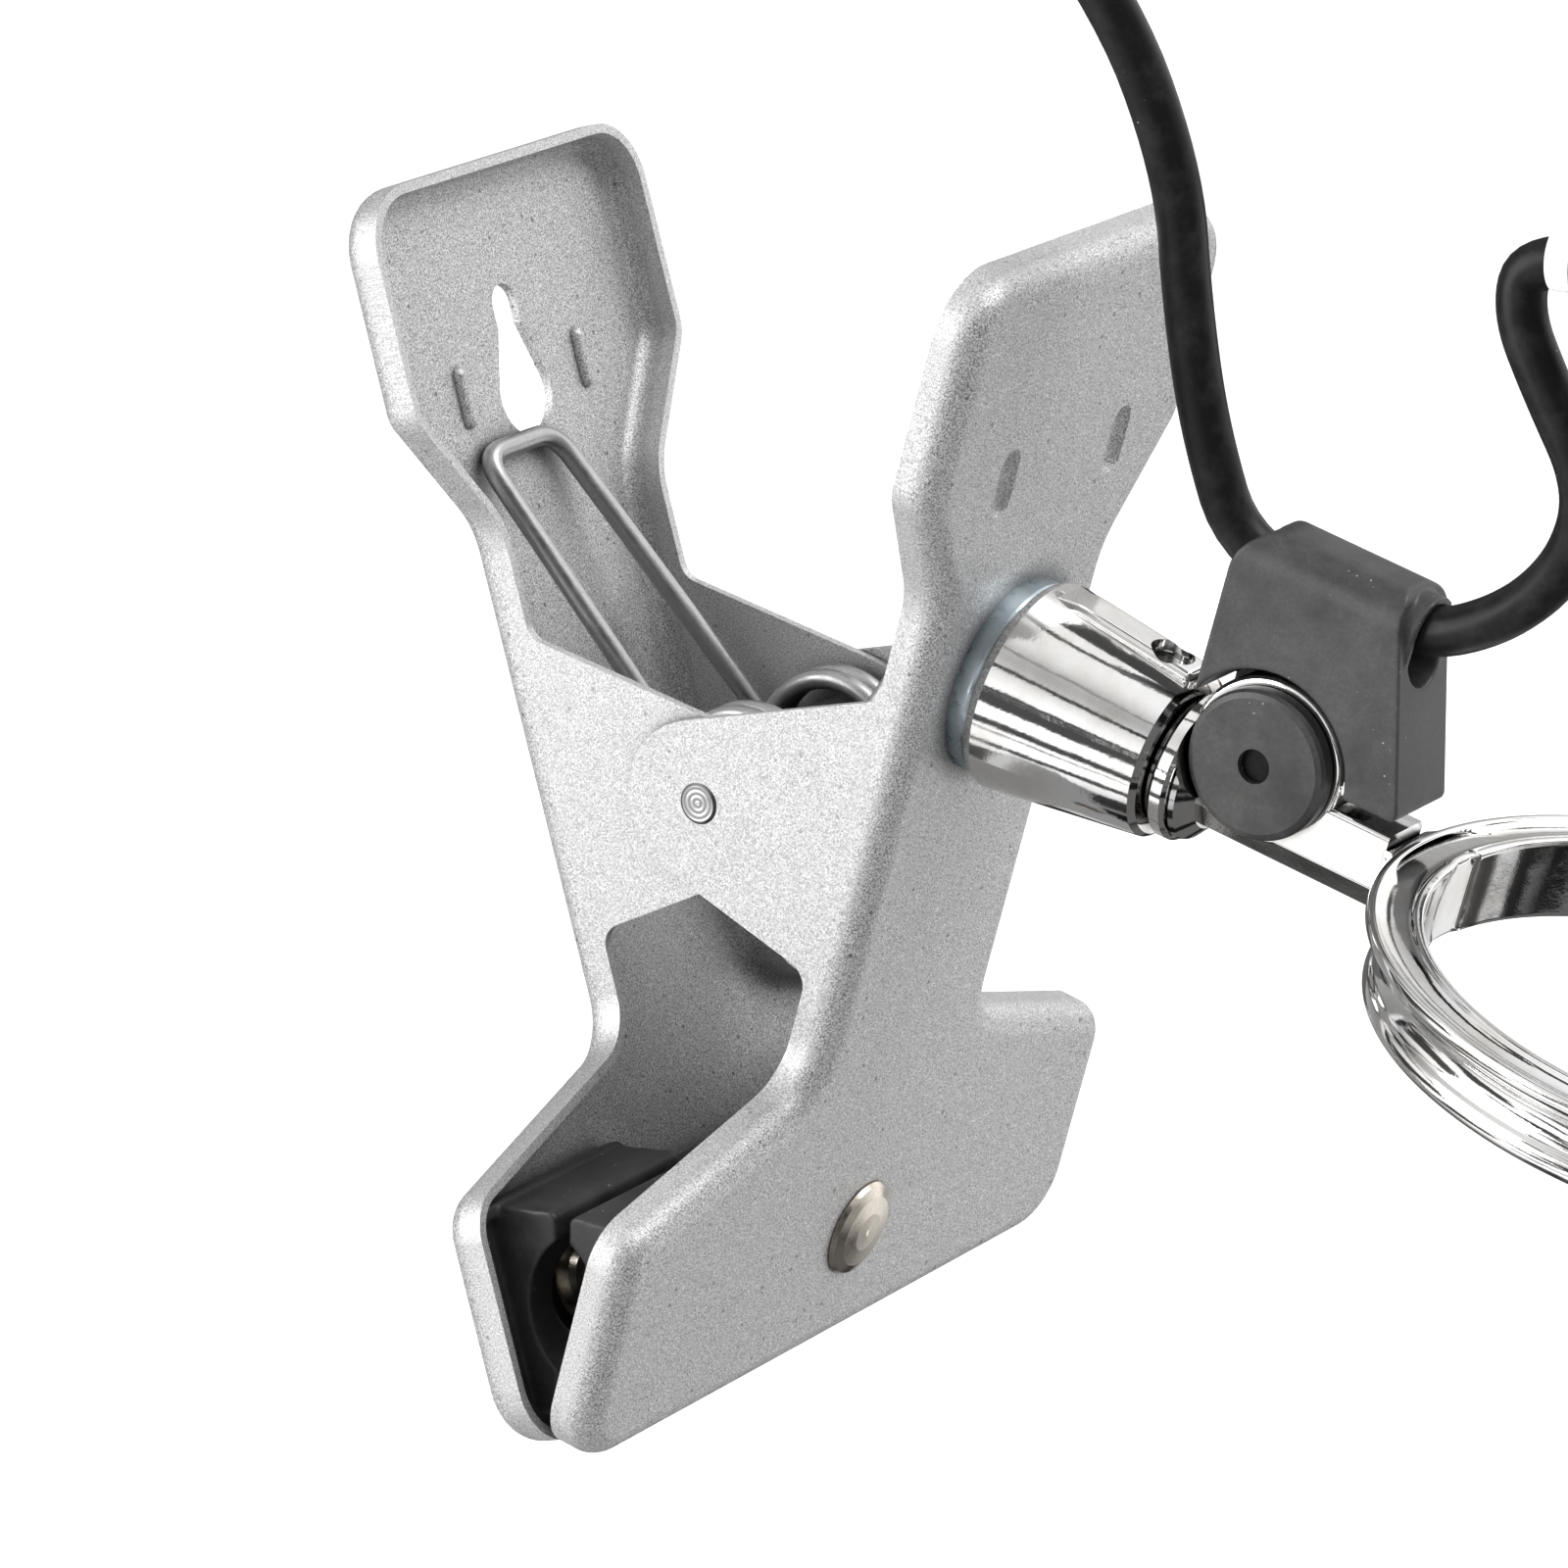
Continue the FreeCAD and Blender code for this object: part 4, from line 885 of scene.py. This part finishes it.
def make_ring():
    section = ring_section()
    seam_angle = math.asin(SEAM_AT / RING_INNER)
    angles = sorted(
        [math.pi * 2 * step / 300 - math.pi for step in range(300)]
        + [seam_angle + shift * SEAM_STEP for shift in (-1.2, -0.5, 0.5, 1.2)]
    )
    vertices, faces = [], []
    for angle in angles:
        near_seam = abs(angle - seam_angle) < 0.75 * SEAM_STEP
        for radius, height in section:
            if radius > RING_OUTER - 3.2 and abs(angle) < BOSS_HALF_ANGLE:
                radius = boss_radius(radius, angle, height)
            if radius < RING_INNER + 1.3:
                radius = inner_radius(radius, angle, height, near_seam)
            x = RING_AT - radius * math.cos(angle)
            vertices.append(placed(FRONT, x, -radius * math.sin(angle), height))
    count = len(section)
    for index in range(len(angles)):
        following = (index + 1) % len(angles)
        for step in range(count):
            after = (step + 1) % count
            faces.append((
                index * count + step, index * count + after,
                following * count + after, following * count + step,
            ))
    mesh = bpy.data.meshes.new("holding_ring_casting")
    mesh.from_pydata(vertices, [], faces)
    piece = finish_mesh("holding_ring_casting", mesh, 50)
    dress(piece, "chrome", "polished_chrome", "arm")
    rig.replaces(piece, "holding_ring")


make_ring()


# ---------------------------------------------------------------- stage and light
def make_stage():
    mesh = bpy.data.meshes.new("floor")
    half, level = 3.0, -0.13
    mesh.from_pydata(
        [(-half, -half, level), (half, -half, level), (half, half, level), (-half, half, level)],
        [], [(0, 1, 2, 3)],
    )
    floor = new_object("floor", mesh)
    look = Look("floor_white", Roughness=0.9, Emission_Strength=0.25)
    look.shader.inputs["Emission Color"].default_value = grey(1.0)
    look.colour(look.mix(look.noise(6, 2.0), grey(0.86), grey(0.9)))
    floor.data.materials.append(look.material)
    floor.visible_glossy = False
    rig.stage(floor)


def area_light(name, place, target, width, height, power, colour=(1, 1, 1)):
    data = bpy.data.lights.new(name, "AREA")
    data.shape = "RECTANGLE"
    data.size, data.size_y = width, height
    data.energy = power
    data.color = colour
    light = new_object(name, data)
    away = Vector(place) - Vector(target)
    light.matrix_world = Matrix.Translation(place) @ away.to_track_quat("Z", "Y").to_matrix().to_4x4()
    return light


BEHIND, ABOVE, FRONT_LEFT, AMBIENT = 1.3, 0.9, 1.15, 0.14
SEEN_BACKGROUND = 1.1


def make_world():
    """A studio round the object: bright behind, above and at the front left, dim elsewhere."""
    world = bpy.data.worlds.new("studio")
    bpy.context.scene.world = world
    world.use_nodes = True
    nodes, links = world.node_tree.nodes, world.node_tree.links
    way = nodes.new("ShaderNodeTexCoord").outputs["Generated"]

    def facing(direction, low, high, top):
        """Up to top where the sky direction is within the range of this direction."""
        dot = nodes.new("ShaderNodeVectorMath")
        dot.operation = "DOT_PRODUCT"
        dot.inputs[1].default_value = Vector(direction).normalized()
        links.new(way, dot.inputs[0])
        share = nodes.new("ShaderNodeMapRange")
        share.interpolation_type = "SMOOTHSTEP"
        for key, value in zip(("From Min", "From Max", "To Min", "To Max"), (low, high, 0, top)):
            share.inputs[key].default_value = value
        links.new(dot.outputs["Value"], share.inputs["Value"])
        return share.outputs[0]

    def streaked(brightness):
        """Level dark gaps between the lamps, which only glossy surfaces show."""
        flat = nodes.new("ShaderNodeMapping")
        flat.inputs["Scale"].default_value = (0.9, 0.9, 3.2)
        links.new(way, flat.inputs["Vector"])
        noise = nodes.new("ShaderNodeTexNoise")
        noise.inputs["Scale"].default_value = 1.7
        noise.inputs["Detail"].default_value = 2.5
        links.new(flat.outputs[0], noise.inputs["Vector"])
        gap = nodes.new("ShaderNodeMapRange")
        for key, value in zip(("From Min", "From Max", "To Min", "To Max"), (0.425, 0.465, 0.06, 1.0)):
            gap.inputs[key].default_value = value
        links.new(noise.outputs["Fac"], gap.inputs["Value"])
        glossy = nodes.new("ShaderNodeMix")
        links.new(nodes.new("ShaderNodeLightPath").outputs["Is Glossy Ray"], glossy.inputs[0])
        glossy.inputs[2].default_value = 1.0
        links.new(gap.outputs[0], glossy.inputs[3])
        product = nodes.new("ShaderNodeMath")
        product.operation = "MULTIPLY"
        links.new(brightness, product.inputs[0])
        links.new(glossy.outputs[0], product.inputs[1])
        return product.outputs[0]

    def total(first, second):
        node = nodes.new("ShaderNodeMath")
        links.new(first, node.inputs[0])
        if isinstance(second, bpy.types.NodeSocket):
            links.new(second, node.inputs[1])
        else:
            node.inputs[1].default_value = second
        return node.outputs[0]

    behind = facing((0.5, 0.85, 0.15), 0.5, 0.95, BEHIND)
    above = facing((0.1, 0.1, 1), 0.45, 0.95, ABOVE)
    front_left = facing((-0.6, -0.8, -0.1), 0.35, 0.9, FRONT_LEFT)
    light = total(total(total(behind, above), front_left), AMBIENT)
    light = streaked(light)
    seen = nodes.new("ShaderNodeLightPath").outputs["Is Camera Ray"]
    strength = nodes.new("ShaderNodeMix")
    links.new(seen, strength.inputs[0])
    links.new(light, strength.inputs[2])
    strength.inputs[3].default_value = SEEN_BACKGROUND
    links.new(strength.outputs[0], nodes["Background"].inputs["Strength"])
    nodes["Background"].inputs["Color"].default_value = (1, 1, 1, 1)


def make_light():
    make_world()
    bpy.context.scene.view_settings.view_transform = "Standard"
    middle = (0.03, 0, 0.05)
    area_light("key", (-0.85, -1.0, 0.45), middle, 0.9, 1.2, 15)
    area_light("top", (0.75, 0.25, 1.25), middle, 0.8, 0.8, 14)


make_stage()
make_light()

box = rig.bounds()
with open("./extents.json", "w") as out:
    json.dump({"cad": [list(v) for v in CAD_BOX], "visual": [list(v) for v in box]}, out)
